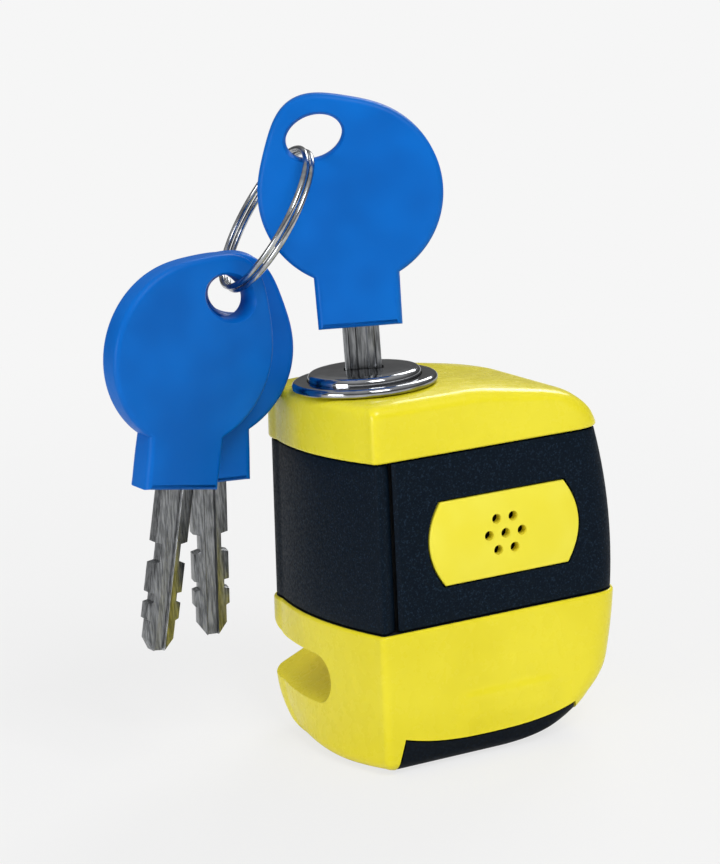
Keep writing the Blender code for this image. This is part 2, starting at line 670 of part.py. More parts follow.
def build_cylinder(plug_frame):
    seat = BODY_TOP + GAP
    rim = ESCUTCHEON_RADIUS
    inner = CAP_RADIUS + RUN
    escutcheon = turned("escutcheon", [
        (inner, seat), (rim - 0.5 * MM, seat), (rim, seat + 0.5 * MM), (rim, seat + 0.8 * MM),
        (rim - 0.9 * MM, seat + ESCUTCHEON_HEIGHT), (inner, seat + ESCUTCHEON_HEIGHT)], CHROME, 40)
    move(escutcheon, LOCK_AXIS)
    housing = turned("cylinder_housing", [
        (PLUG_RADIUS + RUN, HOUSING_BOTTOM), (HOUSING_RADIUS, HOUSING_BOTTOM), (HOUSING_RADIUS, BODY_TOP),
        (PLUG_RADIUS + RUN, BODY_TOP)], BRASS, 32)
    move(housing, LOCK_AXIS)
    plug_inner = PLUG_RADIUS - PLUG_WALL
    plug = turned("key_plug", [
        (0.0, HOUSING_BOTTOM), (PLUG_RADIUS, HOUSING_BOTTOM), (PLUG_RADIUS, BODY_TOP), (plug_inner, BODY_TOP),
        (plug_inner, PLUG_FLOOR), (0.0, PLUG_FLOOR)], BRASS, 32)
    tang_slot = box("tang_slot", (-0.5 * TANG[0] - GAP, -0.5 * TANG[1] - GAP, HOUSING_BOTTOM - MM),
                    (0.5 * TANG[0] + GAP, 0.5 * TANG[1] + GAP, HOUSING_BOTTOM + TANG[2]))
    sidebar_half = 0.8 * MM
    sidebar_low = PLUG_FLOOR + MM
    sidebar_high = BODY_TOP - 2 * MM
    bar_slot = box("sidebar_slot", (0.0, -sidebar_half - GAP, sidebar_low - GAP),
                   (PLUG_RADIUS + MM, sidebar_half + GAP, sidebar_high + GAP))
    for tool in (hang(tang_slot, plug_frame), hang(bar_slot, plug_frame)):
        cut(plug, tool)
    hang(plug, plug_frame)
    bar = box("sidebar", (plug_inner - 0.2 * MM, -sidebar_half, sidebar_low),
              (PLUG_RADIUS - 0.1 * MM, sidebar_half, sidebar_high), STEEL)
    hang(bar, plug_frame)
    cap_low = BODY_TOP + GAP
    cap = turned("plug_cap", [
        (0.0, cap_low), (CAP_RADIUS, cap_low), (CAP_RADIUS, CAP_TOP - 1.4 * MM), (CAP_RADIUS - 0.4 * MM, CAP_TOP - 0.5 * MM),
        (CAP_RADIUS - 1.5 * MM, CAP_TOP), (0.0, CAP_TOP)], CHROME, 40)
    cut(hang(cap, plug_frame), hang(keyway("cap_keyway", cap_low - MM, CAP_TOP + MM), plug_frame))
    for i in range(DISC_COUNT):
        low = PLUG_FLOOR + GAP + i * DISC_PITCH
        radius = plug_inner - 0.5 * MM
        disc = rod(f"detainer_disc_{i + 1}", radius, low, low + DISC_HEIGHT, STEEL)
        spacer_step = rod(f"disc_boss_{i + 1}", radius - 1.2 * MM, low + 0.5 * DISC_HEIGHT, low + DISC_PITCH - GAP)
        combine(disc, hang(spacer_step, plug_frame), "UNION")
        cut(hang(disc, plug_frame), hang(keyway(f"disc_keyway_{i + 1}", low - MM, low + DISC_PITCH), plug_frame))
        notch = box(f"disc_notch_{i + 1}", (radius - MM, -sidebar_half, low - MM),
                    (radius + MM, sidebar_half, low + DISC_PITCH))
        cut(disc, hang(notch, plug_frame))


def drive_span():
    span = PIN_AXIS - LOCK_AXIS
    return span.length, math.atan2(span.y, span.x)


def peg_height():
    return PIN_TIP + PIN_LENGTH + GAP + 0.5 * CARRIER_HEIGHT


def build_drum(plug_frame):
    """The cam drum: turning it by KEY_TURN lowers the peg in its helical groove by PIN_STROKE."""
    top = HOUSING_BOTTOM - GAP
    drum = rod("cam_drum", DRUM_RADIUS, DRUM_BOTTOM, top, STEEL, segments=32)
    tang = box("drum_tang", (-0.5 * TANG[0], -0.5 * TANG[1], top - MM),
               (0.5 * TANG[0], 0.5 * TANG[1], HOUSING_BOTTOM + TANG[2] - GAP))
    tang.rotation_euler = (0.0, 0.0, KEY_YAW)
    combine(hang(drum, plug_frame), hang(tang, plug_frame), "UNION")
    _, start = drive_span()
    slope = math.atan2(PIN_STROKE, DRUM_RADIUS * KEY_TURN)
    half = (PEG_RADIUS + 0.5 * MM) / math.cos(slope)
    floor = DRUM_RADIUS - 2.0 * MM
    dwell = 0.42
    steps = 16
    rings = []
    for i in range(steps + 1):
        part = -dwell + (1.0 + 2.0 * dwell) * i / steps
        angle = start - KEY_TURN * part
        height = peg_height() - PIN_STROKE * min(max(part, 0.0), 1.0)
        corners = ((floor, -half), (DRUM_RADIUS + MM, -half), (DRUM_RADIUS + MM, half), (floor, half))
        rings.append([(r * math.cos(angle), r * math.sin(angle), height + h) for r, h in corners])
    cut(drum, hang(loft("cam_groove", rings), plug_frame))
    for i, turn in enumerate((0.0, KEY_TURN)):
        angle = -0.5 * math.pi - turn
        dimple = rod(f"detent_dimple_{i}", 1.2 * MM, DRUM_RADIUS - 0.4 * MM, DRUM_RADIUS + MM, axis="Y", segments=12)
        dimple.rotation_euler = (0.0, 0.0, angle - 0.5 * math.pi)
        dimple.location = (0.0, 0.0, detent_height())
        cut(drum, hang(dimple, plug_frame))


def build_pin(pin_frame):
    stud = 1.8 * MM
    stud_length = 3.5 * MM
    top = PIN_TIP + PIN_LENGTH
    pin = turned("lock_pin", [
        (0.0, PIN_TIP), (PIN_RADIUS - 0.8 * MM, PIN_TIP), (PIN_RADIUS, PIN_TIP + 0.8 * MM), (PIN_RADIUS, top),
        (stud, top), (stud, top + stud_length), (0.0, top + stud_length)], STEEL, 24)
    hang(pin, pin_frame)
    low = top + GAP
    carrier = rod("pin_carrier", CARRIER_RADIUS, low, low + CARRIER_HEIGHT, BRASS)
    distance, angle = drive_span()
    peg_tip = distance - (DRUM_RADIUS - 1.7 * MM)
    peg = rod("carrier_peg", PEG_RADIUS, -peg_tip, -CARRIER_RADIUS + 1.5 * MM, axis="X", segments=16,
              centre=(0.0, peg_height()))
    peg.rotation_euler = (0.0, 0.0, angle)
    combine(hang(carrier, pin_frame), hang(peg, pin_frame), "UNION")
    cut(carrier, hang(rod("stud_hole", stud + RUN, low - MM, low + stud_length), pin_frame))
    inner = PIN_RADIUS + RUN
    bush = turned("pin_bush", [
        (inner, SLOT_CEILING), (inner + BUSH_WALL, SLOT_CEILING), (inner + BUSH_WALL, SLOT_CEILING + BUSH_HEIGHT),
        (inner, SLOT_CEILING + BUSH_HEIGHT)], STEEL, 24)
    move(bush, PIN_AXIS)


def build_detent():
    """The ball, spring and plug screw that hold the drum at both ends of its turn."""
    x, z = LOCK_AXIS.x, detent_height()
    ball_y = LOCK_AXIS.y - DRUM_RADIUS - RUN - DETENT_RADIUS
    steps = 8
    angles = [math.pi * i / steps for i in range(1, steps)]
    profile = [(0.0, DETENT_RADIUS)] + [(DETENT_RADIUS * math.sin(a), DETENT_RADIUS * math.cos(a)) for a in angles]
    ball = turned("detent_ball", profile + [(0.0, -DETENT_RADIUS)], STEEL, 16)
    move(ball, (x, ball_y, z))
    spring_start = ball_y - DETENT_RADIUS - GAP
    wire_radius = 0.2 * MM
    turns = 5
    pitch = 0.95 * MM
    coil = DETENT_RADIUS - wire_radius
    points = []
    per_turn = 12
    for i in range(turns * per_turn + 1):
        angle = 2.0 * math.pi * i / per_turn
        y = spring_start - wire_radius - pitch * i / per_turn
        points.append((x + coil * math.cos(angle), y, z + coil * math.sin(angle)))
    wire("detent_spring", points, wire_radius, STEEL)
    high = spring_start - 2 * wire_radius - pitch * turns - GAP
    low = FRONT_Y + COVER_INSET + COVER_WALL + 2 * GAP
    plug = rod("detent_screw", DETENT_RADIUS, low, high, STEEL, centre=(x, z), axis="Y", segments=16)
    cut(plug, box("screwdriver_slot", (x - 2 * MM, low - MM, z - 0.3 * MM), (x + 2 * MM, low + 0.8 * MM, z + 0.3 * MM)))


# ---- alarm and batteries ----------------------------------------------------------------------------

def build_alarm():
    front = FRONT_Y + COVER_INSET + COVER_WALL + GAP
    board_front = BOARD_Y
    siren = prism("siren_housing", circle(SIREN_RADIUS, 32, (SIREN_X, SIREN_Z)), "Y", front, board_front - GAP, DARK)
    disc_y = front + 3.4 * MM
    cut(siren, rod("siren_throat", SIREN_RADIUS - 3.0 * MM, front - MM, disc_y, centre=(SIREN_X, SIREN_Z), axis="Y"),
        rod("siren_chamber", SIREN_RADIUS - 1.2 * MM, disc_y - 0.4 * MM, board_front, centre=(SIREN_X, SIREN_Z), axis="Y"))
    rod("piezo_disc", SIREN_RADIUS - 1.2 * MM - GAP, disc_y, disc_y + 0.5 * MM, BRASS, centre=(SIREN_X, SIREN_Z),
        axis="Y", segments=32)
    board_low = (BAY_LOW.x + GAP, board_front, BAY_LOW.z + GAP)
    back = board_front + BOARD_THICKNESS
    box("circuit_board", board_low, (BAY_HIGH.x - GAP, back, BAY_HIGH.z - GAP), BOARD)
    behind = back + GAP
    box("control_chip", (4.0 * MM, behind, 38.0 * MM), (10.0 * MM, behind + 1.4 * MM, 44.0 * MM), DARK)
    rod("motion_sensor", 2.4 * MM, behind, BAY_HIGH.y - MM, CHROME, centre=(17.0 * MM, 48.0 * MM), axis="Y")
    box("arming_switch", (BAY_LOW.x + 2 * GAP, behind, 50.0 * MM), (4.0 * MM, behind + 4.2 * MM, 54.0 * MM), DARK)


def build_batteries():
    for stack, x in enumerate(CELL_X):
        for layer in range(2):
            low = CELL_BASE + layer * (CELL_HEIGHT + GAP)
            shoulder = CELL_RADIUS - 0.9 * MM
            cell = turned(f"button_cell_{2 * stack + layer + 1}", [
                (0.0, low), (shoulder, low), (shoulder, low + 0.7 * MM), (CELL_RADIUS, low + 0.9 * MM),
                (CELL_RADIUS, low + CELL_HEIGHT), (0.0, low + CELL_HEIGHT)], CHROME, 24)
            move(cell, (x, CELL_Y, 0.0))
        build_contact_spring(f"contact_spring_{stack + 1}", x)
    strip_low = CELL_BASE + 2 * CELL_HEIGHT + 2 * GAP
    half = 3.0 * MM
    box("contact_strip", (CELL_X[0] - half, CELL_Y - half, strip_low),
        (CELL_X[1] + half, CELL_Y + half, strip_low + GAP), CHROME)


def build_contact_spring(name, x):
    """A low cone of wire that stands on the door and presses the cells up."""
    turns = 2
    per_turn = 14
    wire_radius = 0.22 * MM
    low = DOOR_TOP + GAP + wire_radius
    high = CELL_BASE - GAP - wire_radius
    points = []
    for i in range(turns * per_turn + 1):
        part = i / (turns * per_turn)
        angle = 2.0 * math.pi * i / per_turn
        radius = 4.2 * MM - 2.6 * MM * part
        points.append((x + radius * math.cos(angle), CELL_Y + radius * math.sin(angle), low + (high - low) * part))
    wire(name, points, wire_radius, STEEL)


# ---- keys and ring ------------------------------------------------------------------------------------

def bow_outline():
    """The key head: a round bow that rises to an ear round the eye, on a straight-sided collar."""
    outline = [(-COLLAR_HALF, 0.0), (COLLAR_HALF, 0.0)]
    start = math.asin(-0.885)
    steps = 40
    for i in range(steps + 1):
        angle = start + (math.pi - 2.0 * start) * i / steps
        ear = EAR_RISE * math.exp(-((angle - EAR_ANGLE) / EAR_SPREAD) ** 2)
        radius = BOW_RADIUS + ear
        outline.append((radius * math.cos(angle), BOW_HEIGHT + radius * math.sin(angle)))
    return outline


def eye_outline(steps=20):
    outline = []
    for i in range(steps):
        angle = 2.0 * math.pi * i / steps
        x, z = EYE_HALF[0] * math.cos(angle), EYE_HALF[1] * math.sin(angle)
        outline.append((EYE[0] + x * math.cos(EYE_TILT) - z * math.sin(EYE_TILT),
                        EYE[1] + x * math.sin(EYE_TILT) + z * math.cos(EYE_TILT)))
    return outline


def blade_outline():
    """Half of the blade's edge from the collar to the point: (distance below the collar, depth of cut)."""
    cuts = [(10.5, 1.4, 14.6), (20.4, 1.0, 22.4), (25.6, 0.7, 30.0)]
    half = 0.5 * BLADE_WIDTH
    edge = [(half, BLADE_TANG), (half, 0.0)]
    for start, depth, end in cuts:
        edge.append((half, -start * MM))
        edge.append((half - depth * MM, -start * MM))
        edge.append((half - depth * MM, -end * MM))
        if end < 30.0:
            edge.append((half, -end * MM))
    edge.append((0.35 * half, -BLADE_LENGTH))
    return edge + [(-x, z) for x, z in reversed(edge)]


def build_key(number, frame, meshes):
    """One key in its own frame: origin at the middle of the collar's lower edge, Z towards the bow."""
    head_name = f"key_head_{number}"
    blade_name = f"key_blade_{number}"
    half = 0.5 * BOW_THICKNESS
    if not meshes:
        meshes["head"] = prism("bow_shape", bow_outline(), "Y", -half, half).data
        meshes["blade"] = prism("blade_shape", blade_outline(), "Y", -0.5 * BLADE_THICKNESS, 0.5 * BLADE_THICKNESS).data
        for name in ("bow_shape", "blade_shape"):
            bpy.data.objects.remove(bpy.data.objects[name])
    head = hang(placed(head_name, meshes["head"].copy(), KEY_PLASTIC), frame)
    collar = box(f"collar_{number}", (-COLLAR_HALF + 0.01 * MM, -0.5 * COLLAR_THICKNESS, -0.01 * MM),
                 (COLLAR_HALF - 0.01 * MM, 0.5 * COLLAR_THICKNESS, COLLAR_HEIGHT))
    combine(head, hang(collar, frame), "UNION")
    pocket = (0.5 * BLADE_WIDTH + GAP, 0.5 * BLADE_THICKNESS + GAP)
    cut(head, hang(prism(f"eye_{number}", eye_outline(), "Y", -2 * half, 2 * half), frame),
        hang(box(f"pocket_{number}", (-pocket[0], -pocket[1], -MM), (pocket[0], pocket[1], BLADE_TANG + GAP)), frame))
    blade = hang(placed(blade_name, meshes["blade"].copy(), STEEL), frame)
    for side in (-1.0, 1.0):
        near = side * (0.5 * BLADE_THICKNESS - GROOVE_DEPTH)
        far = side * BLADE_THICKNESS
        groove = box(f"groove_{number}_{int(side)}", (-0.5 * GROOVE_WIDTH, min(near, far), -BLADE_LENGTH - MM),
                     (0.5 * GROOVE_WIDTH, max(near, far), BLADE_TANG + MM))
        cut(blade, hang(groove, frame))


# Where the ring's wire crosses the inserted key's eye, and the direction of the ring's lowest point,
# given along the key's width, across it towards the front, and up.
RING_TOP = Vector((-8.34 * MM, 0.0, KEY_SEAT + 34.73 * MM))
RING_LOW_DIRECTION = Vector((-16.62, 3.53, -25.0)).normalized()
RING_FACE_TURN = math.radians(16.6)
RING_JOG = math.radians(215.0)  # where the wire steps over to its second turn
RING_JOG_HALF = math.radians(12.0)
# Each spare key: its place along the ring, its turns, and where in its eye the wire lies
SPARES = {
    2: {"along": 15.7, "yaw": 36.57, "lean": -11.21, "pitch": -3.98, "wire": (-8.6 * MM, 0.0, 38.93 * MM)},
    3: {"along": -13.89, "yaw": 18.51, "lean": -2.34, "pitch": -4.14, "wire": (-4.89 * MM, 0.0, 39.52 * MM)},
}


def key_frame_axes():
    """The inserted key's width direction, its direction towards the front, and up."""
    width = Vector((math.cos(KEY_YAW), math.sin(KEY_YAW), 0.0))
    front = Vector((math.sin(KEY_YAW), -math.cos(KEY_YAW), 0.0))
    return width, front, Vector((0.0, 0.0, 1.0))


def from_key(offset):
    width, front, up = key_frame_axes()
    return width * offset.x + front * offset.y + up * offset.z


def ring_axes():
    """The direction from the ring's lowest point to its top, its other direction, and its normal."""
    up_along = -from_key(RING_LOW_DIRECTION)
    towards = from_key(Vector((math.sin(RING_FACE_TURN), math.cos(RING_FACE_TURN), 0.0)))
    across = (towards - up_along * towards.dot(up_along)).normalized()
    return up_along, across, up_along.cross(across)


def ring_centre():
    up_along, _, _ = ring_axes()
    return LOCK_AXIS + from_key(RING_TOP) - up_along * RING_RADIUS


def build_ring():
    """Two turns of wire side by side, like a split ring."""
    up_along, across, normal = ring_axes()
    steps = 84
    start = RING_JOG_HALF
    points = []
    for i in range(steps + 1):
        angle = start + (4.0 * math.pi - 2.0 * start) * i / steps
        step_over = (angle - 2.0 * math.pi) / RING_JOG_HALF
        side = 0.5 * RING_PITCH * min(max(step_over, -1.0), 1.0)
        radial = up_along * math.cos(RING_JOG + angle) + across * math.sin(RING_JOG + angle)
        points.append(ring_centre() + radial * RING_RADIUS + normal * side)
    wire("key_ring", points, RING_WIRE, STEEL)


def spare_frame(number):
    """A spare key's frame: its eye on the ring's wire, turned to show its back, and leaning."""
    spec = SPARES[number]
    up_along, across, _ = ring_axes()
    along = math.radians(spec["along"])
    wire_point = ring_centre() - up_along * RING_RADIUS * math.cos(along) + across * RING_RADIUS * math.sin(along)
    turn = Matrix.Rotation(KEY_YAW + math.pi + math.radians(spec["yaw"]), 4, "Z")
    turn = turn @ Matrix.Rotation(math.radians(spec["lean"]), 4, "Y")
    turn = turn @ Matrix.Rotation(math.radians(spec["pitch"]), 4, "X")
    return Matrix.Translation(wire_point) @ turn @ Matrix.Translation(-Vector(spec["wire"]))


def build_keys():
    meshes = {}
    inserted = Matrix.Translation(LOCK_AXIS + Vector((0.0, 0.0, KEY_SEAT))) @ Matrix.Rotation(KEY_YAW, 4, "Z")
    build_key(1, empty("key_1_frame", inserted), meshes)
    for number in SPARES:
        build_key(number, empty(f"key_{number}_frame", spare_frame(number)), meshes)
    build_ring()


def main():
    clear_scene()
    build_casting()
    build_covers()
    build_door()
    build_screws()
    plug_frame = empty("plug_frame", Matrix.Translation(LOCK_AXIS) @ Matrix.Rotation(KEY_YAW, 4, "Z"))
    drum_frame = empty("drum_frame", Matrix.Translation(LOCK_AXIS))
    build_cylinder(plug_frame)
    build_drum(drum_frame)
    build_pin(empty("pin_frame", Matrix.Translation(PIN_AXIS)))
    build_detent()
    build_alarm()
    build_batteries()
    build_keys()


main()
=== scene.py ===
# %% [markdown]
# # A disc brake lock with its keys
# The lock is a painted zinc casting that grips a brake disc. A dark moulded cover wraps its waist, a
# chromed cylinder stands on top with its key in it, and two spare keys hang from a split ring.
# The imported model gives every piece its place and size. The surfaces that show are made again here,
# finely enough for soft edges and clean highlights, and each one gets a finish built from nodes.

# %% Load the frame
import json
import math

import bpy
import numpy as np
from mathutils import Matrix, Vector

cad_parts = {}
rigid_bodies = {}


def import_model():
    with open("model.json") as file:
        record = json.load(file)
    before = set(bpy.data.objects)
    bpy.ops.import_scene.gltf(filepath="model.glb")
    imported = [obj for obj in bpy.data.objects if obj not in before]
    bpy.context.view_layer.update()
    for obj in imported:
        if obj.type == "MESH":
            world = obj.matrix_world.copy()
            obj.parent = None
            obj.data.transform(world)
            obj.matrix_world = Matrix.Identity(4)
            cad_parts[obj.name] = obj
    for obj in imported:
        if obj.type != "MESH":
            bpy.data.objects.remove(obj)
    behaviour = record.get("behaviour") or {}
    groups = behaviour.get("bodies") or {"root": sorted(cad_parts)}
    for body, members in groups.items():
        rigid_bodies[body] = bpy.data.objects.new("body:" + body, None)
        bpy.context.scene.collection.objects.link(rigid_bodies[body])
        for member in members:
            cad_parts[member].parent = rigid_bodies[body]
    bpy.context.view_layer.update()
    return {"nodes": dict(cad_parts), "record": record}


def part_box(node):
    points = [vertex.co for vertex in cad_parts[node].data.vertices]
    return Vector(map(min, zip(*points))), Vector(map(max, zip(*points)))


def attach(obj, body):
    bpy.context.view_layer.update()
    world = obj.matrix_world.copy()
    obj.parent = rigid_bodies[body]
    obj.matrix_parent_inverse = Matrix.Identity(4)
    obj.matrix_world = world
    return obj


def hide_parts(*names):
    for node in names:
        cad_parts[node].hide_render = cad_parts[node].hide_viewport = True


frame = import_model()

MM = 0.001

# %% [markdown]
# ## From arrays to meshes
# Nearly every piece is a grid: one direction runs round a section, the other along the piece. A grid
# that closes on itself becomes a solid when its first and last rows are capped. Cutters are made the
# same way, and a Boolean takes them away.

# %% Mesh helpers
def mesh_from(name, points, faces):
    """Puts arrays of points and faces into a new mesh."""
    mesh = bpy.data.meshes.new(name)
    mesh.from_pydata(points, [], faces)
    mesh.update()
    return mesh


def closed_grid(rows, columns):
    """Faces of a grid whose columns join up: quads between the rows, and a cap on the first and last."""
    down, across = np.meshgrid(np.arange(rows - 1), np.arange(columns), indexing="ij")
    here = down * columns + across
    beside = down * columns + (across + 1) % columns
    quads = np.stack([here, beside, beside + columns, here + columns], -1).reshape(-1, 4)
    first = list(range(columns))[::-1]
    last = list(range((rows - 1) * columns, rows * columns))
    return quads.tolist() + [first, last]


def solid(name, rings, sharp=40.0):
    """A closed solid from an array of rings, shape (rows, columns, 3), turned to face outwards."""
    rings = np.asarray(rings, float)
    rows, columns, _ = rings.shape
    mesh = mesh_from(name, rings.reshape(-1, 3).tolist(), closed_grid(rows, columns))
    points, ring = rings.reshape(-1, 3), rings[rows // 2]
    tris = np.array([[a, b, c] for face in closed_grid(rows, columns) for a, b, c in
                     [(face[0], face[i], face[i + 1]) for i in range(1, len(face) - 1)]])
    corner = points[tris]
    if np.einsum("ij,ij->i", corner[:, 0], np.cross(corner[:, 1], corner[:, 2])).sum() < 0.0:
        mesh.flip_normals()
    mesh.shade_smooth()
    mesh.set_sharp_from_angle(angle=math.radians(sharp))
    piece = bpy.data.objects.new(name, mesh)
    bpy.context.scene.collection.objects.link(piece)
    return piece


def settle(piece):
    """Applies a piece's modifiers and its place, so that its mesh holds its final shape."""
    depsgraph = bpy.context.evaluated_depsgraph_get()
    mesh = bpy.data.meshes.new_from_object(piece.evaluated_get(depsgraph))
    mesh.transform(piece.matrix_world)
    piece.modifiers.clear()
    piece.data = mesh
    piece.matrix_world = Matrix.Identity(4)
    return piece


def cut(piece, *cutters):
    """Takes the cutters away from a piece, then removes them."""
    for cutter in cutters:
        step = piece.modifiers.new("cut", "BOOLEAN")
        step.object = cutter
        step.solver = "EXACT"
    settle(piece)
    for cutter in cutters:
        bpy.data.objects.remove(cutter)
    piece.data.shade_smooth()
    piece.data.set_sharp_from_angle(angle=math.radians(38.0))
    return piece


def spin(name, profile, axis=(0.0, 0.0, 0.0), segments=128, sharp=40.0):
    """A profile of (radius, height) pairs turned about a vertical axis: x = r cos a, y = r sin a."""
    profile = np.asarray(profile, float)
    angle = np.linspace(0.0, 2.0 * math.pi, segments, endpoint=False)
    radius, height = profile[:, :1], profile[:, 1:]
    rings = np.stack([axis[0] + radius * np.cos(angle), axis[1] + radius * np.sin(angle),
                      axis[2] + height + 0.0 * angle], -1)
    return solid(name, rings, sharp)


def slab(name, outline, half, edge, steps=5, sharp=40.0):
    """A flat plate in X and Z, `half` thick each way in Y, with its rims rounded to a quarter circle:
    each ring is the outline drawn in by edge (1 - sin a), at y = half - edge (1 - cos a)."""
    outline = np.asarray(outline, float)
    along = np.roll(outline, -1, 0) - np.roll(outline, 1, 0)
    inward = np.stack([-along[:, 1], along[:, 0]], -1) / np.linalg.norm(along, axis=1)[:, None]
    a = np.linspace(0.0, 0.5 * math.pi, steps)
    draw = edge * (1.0 - np.sin(a))
    level = half - edge * (1.0 - np.cos(a))
    draw = np.concatenate([draw, draw[::-1]])
    level = np.concatenate([-level, level[::-1]])
    flat = outline[None] + inward[None] * draw[:, None, None]
    rings = np.stack([flat[..., 0], level[:, None] + 0.0 * flat[..., 0], flat[..., 1]], -1)
    return solid(name, rings, sharp)


print("helpers ready")

# %% [markdown]
# ## Shader maths as expressions
# A wire stands for one output socket. Sums and products of wires and numbers add Math nodes, so a
# mask reads like a formula, and one method makes every other kind of node.

# %% The wire class
class Wire:
    """One output socket of a material's node tree."""

    def __init__(self, tree, socket=None):
        self.tree = tree
        self.socket = socket

    def node(self, kind, settings=None, sockets=None, output=0):
        made = self.tree.nodes.new(kind)
        for key, value in (settings or {}).items():
            if key == "stops":
                ramp = made.color_ramp
                for i, (place, colour) in enumerate(value):
                    stop = ramp.elements[i] if i < 2 else ramp.elements.new(place)
                    stop.position = place
                    stop.color = colour
            else:
                setattr(made, key, value)
        for key, value in (sockets or {}).items():
            if isinstance(value, Wire):
                self.tree.links.new(value.socket, made.inputs[key])
            else:
                made.inputs[key].default_value = value
        return Wire(self.tree, made.outputs[output] if len(made.outputs) else None)

    def maths(self, operation, *values):
        return self.node("ShaderNodeMath", {"operation": operation}, dict(enumerate(values)))

    def __add__(self, other):
        return self.maths("ADD", self, other)

    __radd__ = __add__

    def __sub__(self, other):
        return self.maths("SUBTRACT", self, other)

    def __rsub__(self, other):
        return self.maths("SUBTRACT", other, self)

    def __mul__(self, other):
        return self.maths("MULTIPLY", self, other)

    __rmul__ = __mul__

    def __pow__(self, other):
        return self.maths("POWER", self, other)

    def step(self, low, high):
        """0 below low, 1 above high, and a soft rise between."""
        return self.node("ShaderNodeMapRange", {"interpolation_type": "SMOOTHSTEP"},
                         {"Value": self, "From Min": low, "From Max": high})

    def between(self, first, second):
        """The first colour where this wire is 0 and the second where it is 1."""
        return self.node("ShaderNodeMix", {"data_type": "RGBA"}, {0: self, 6: first, 7: second}, 2)


def rgba(red, green, blue):
    """A screen colour of 0 to 255 as the linear values that a shader takes."""
    part = np.array([red, green, blue]) / 255.0
    linear = np.where(part <= 0.04045, part / 12.92, ((part + 0.055) / 1.055) ** 2.4)
    return (*linear.tolist(), 1.0)


def finish(name, base, roughness, metallic=0.0, bump=0.1, depth=0.00005, height=None, **fixed):
    """A Principled material: base is a colour or a function of the grain that gives one. `grain` hands
    out noise in the object's own metres, at any feature size and stretch."""
    material = bpy.data.materials.new(name)
    material.use_nodes = True
    tree = material.node_tree
    tree.nodes.clear()
    start = Wire(tree)
    place = start.node("ShaderNodeTexCoord", output=3)

    def grain(size, stretch=(1.0, 1.0, 1.0), detail=3.0, rough=0.55):
        spot = start.node("ShaderNodeMapping", {}, {"Vector": place, "Scale": stretch})
        return start.node("ShaderNodeTexNoise", {}, {"Vector": spot, "Scale": 1.0 / size, "Detail": detail,
                                                     "Roughness": rough})

    def value(item):
        return item(grain) if callable(item) else item

    shader = {"Base Color": value(base), "Roughness": value(roughness), "Metallic": metallic}
    if height is not None:
        relief = start.node("ShaderNodeBump", {}, {"Strength": bump, "Distance": depth,
                                                   "Height": height(grain)})
        shader["Normal"] = relief
    shader.update(fixed)
    surface = start.node("ShaderNodeBsdfPrincipled", {}, shader)
    start.node("ShaderNodeOutputMaterial", {}, {"Surface": surface})
    return material


print("shader helpers ready")

# %% [markdown]
# ## The finishes
# Paint on a casting is never perfectly flat: it pools a little and leaves a fine ripple called orange
# peel. Moulded plastic carries the grain of its mould. Ground steel shows the direction of the wheel,
# and chrome shows faint hairlines. Each of these is noise at its own real size, stretched where the
# tool moved one way.

# %% Paint and plastics
paint = finish(
    "paint_yellow",
    lambda grain: grain(0.02, detail=2.0).step(0.3, 0.7).between(rgba(243, 228, 36), rgba(250, 236, 48)),
    lambda grain: 0.24 + 0.1 * grain(0.003).step(0.35, 0.75),
    bump=0.1, depth=0.00008,
    height=lambda grain: grain(0.0022, detail=1.0) + 0.15 * grain(0.0004, detail=1.0),
    **{"Coat Weight": 0.12, "Coat Roughness": 0.06, "Specular IOR Level": 0.3})
badge_yellow = finish(
    "badge_yellow",
    lambda grain: grain(0.012, detail=2.0).step(0.3, 0.7).between(rgba(252, 238, 62), rgba(255, 243, 78)),
    lambda grain: 0.34 + 0.12 * grain(0.0008),
    bump=0.12, depth=0.00004, height=lambda grain: grain(0.0005), **{"Specular IOR Level": 0.25})
cover_black = finish(
    "cover_black",
    lambda grain: grain(0.00035, detail=2.0).step(0.5, 0.8).between(rgba(3, 17, 30), rgba(30, 48, 66)),
    lambda grain: 0.46 + 0.2 * grain(0.0006).step(0.3, 0.7),
    bump=0.4, depth=0.00006, height=lambda grain: grain(0.00034, detail=3.0),
    **{"Specular IOR Level": 0.1})
door_black = finish(
    "door_black",
    lambda grain: grain(0.0006).step(0.4, 0.8).between(rgba(4, 12, 22), rgba(18, 28, 40)),
    lambda grain: 0.4 + 0.2 * grain(0.001),
    bump=0.3, depth=0.00005, height=lambda grain: grain(0.0005), **{"Specular IOR Level": 0.12})
# Painted shade: the casting's waist core shows only through the narrow seams round the cover panels, so it is
# coloured near-black to make those seams read dark.
painted_seam_shade = finish(
    "painted_seam_shade", lambda grain: grain(0.003).step(0.3, 0.7).between(rgba(12, 14, 18), rgba(24, 27, 32)),
    lambda grain: 0.6 + 0.2 * grain(0.002), bump=0.3, depth=0.0001, height=lambda grain: grain(0.0012))
key_blue = finish(
    "key_blue",
    lambda grain: grain(0.011, detail=1.0).step(0.2, 0.8).between(rgba(0, 98, 190), rgba(0, 110, 208)),
    lambda grain: 0.38 + 0.12 * grain(0.0012).step(0.3, 0.75),
    bump=0.14, depth=0.00004, height=lambda grain: grain(0.0006, detail=2.0),
    **{"Specular IOR Level": 0.15})
dark_plastic = finish(
    "dark_plastic", lambda grain: grain(0.001).step(0.3, 0.7).between(rgba(26, 27, 30), rgba(44, 45, 50)),
    lambda grain: 0.45 + 0.2 * grain(0.0015), bump=0.3, depth=0.00005, height=lambda grain: grain(0.0006))
seal_rubber = finish(
    "seal_rubber", lambda grain: grain(0.0008).step(0.3, 0.7).between(rgba(18, 18, 19), rgba(38, 38, 40)),
    lambda grain: 0.72 + 0.2 * grain(0.0008), bump=0.35, depth=0.00006, height=lambda grain: grain(0.0004))
print("paint and plastics:", len(bpy.data.materials))

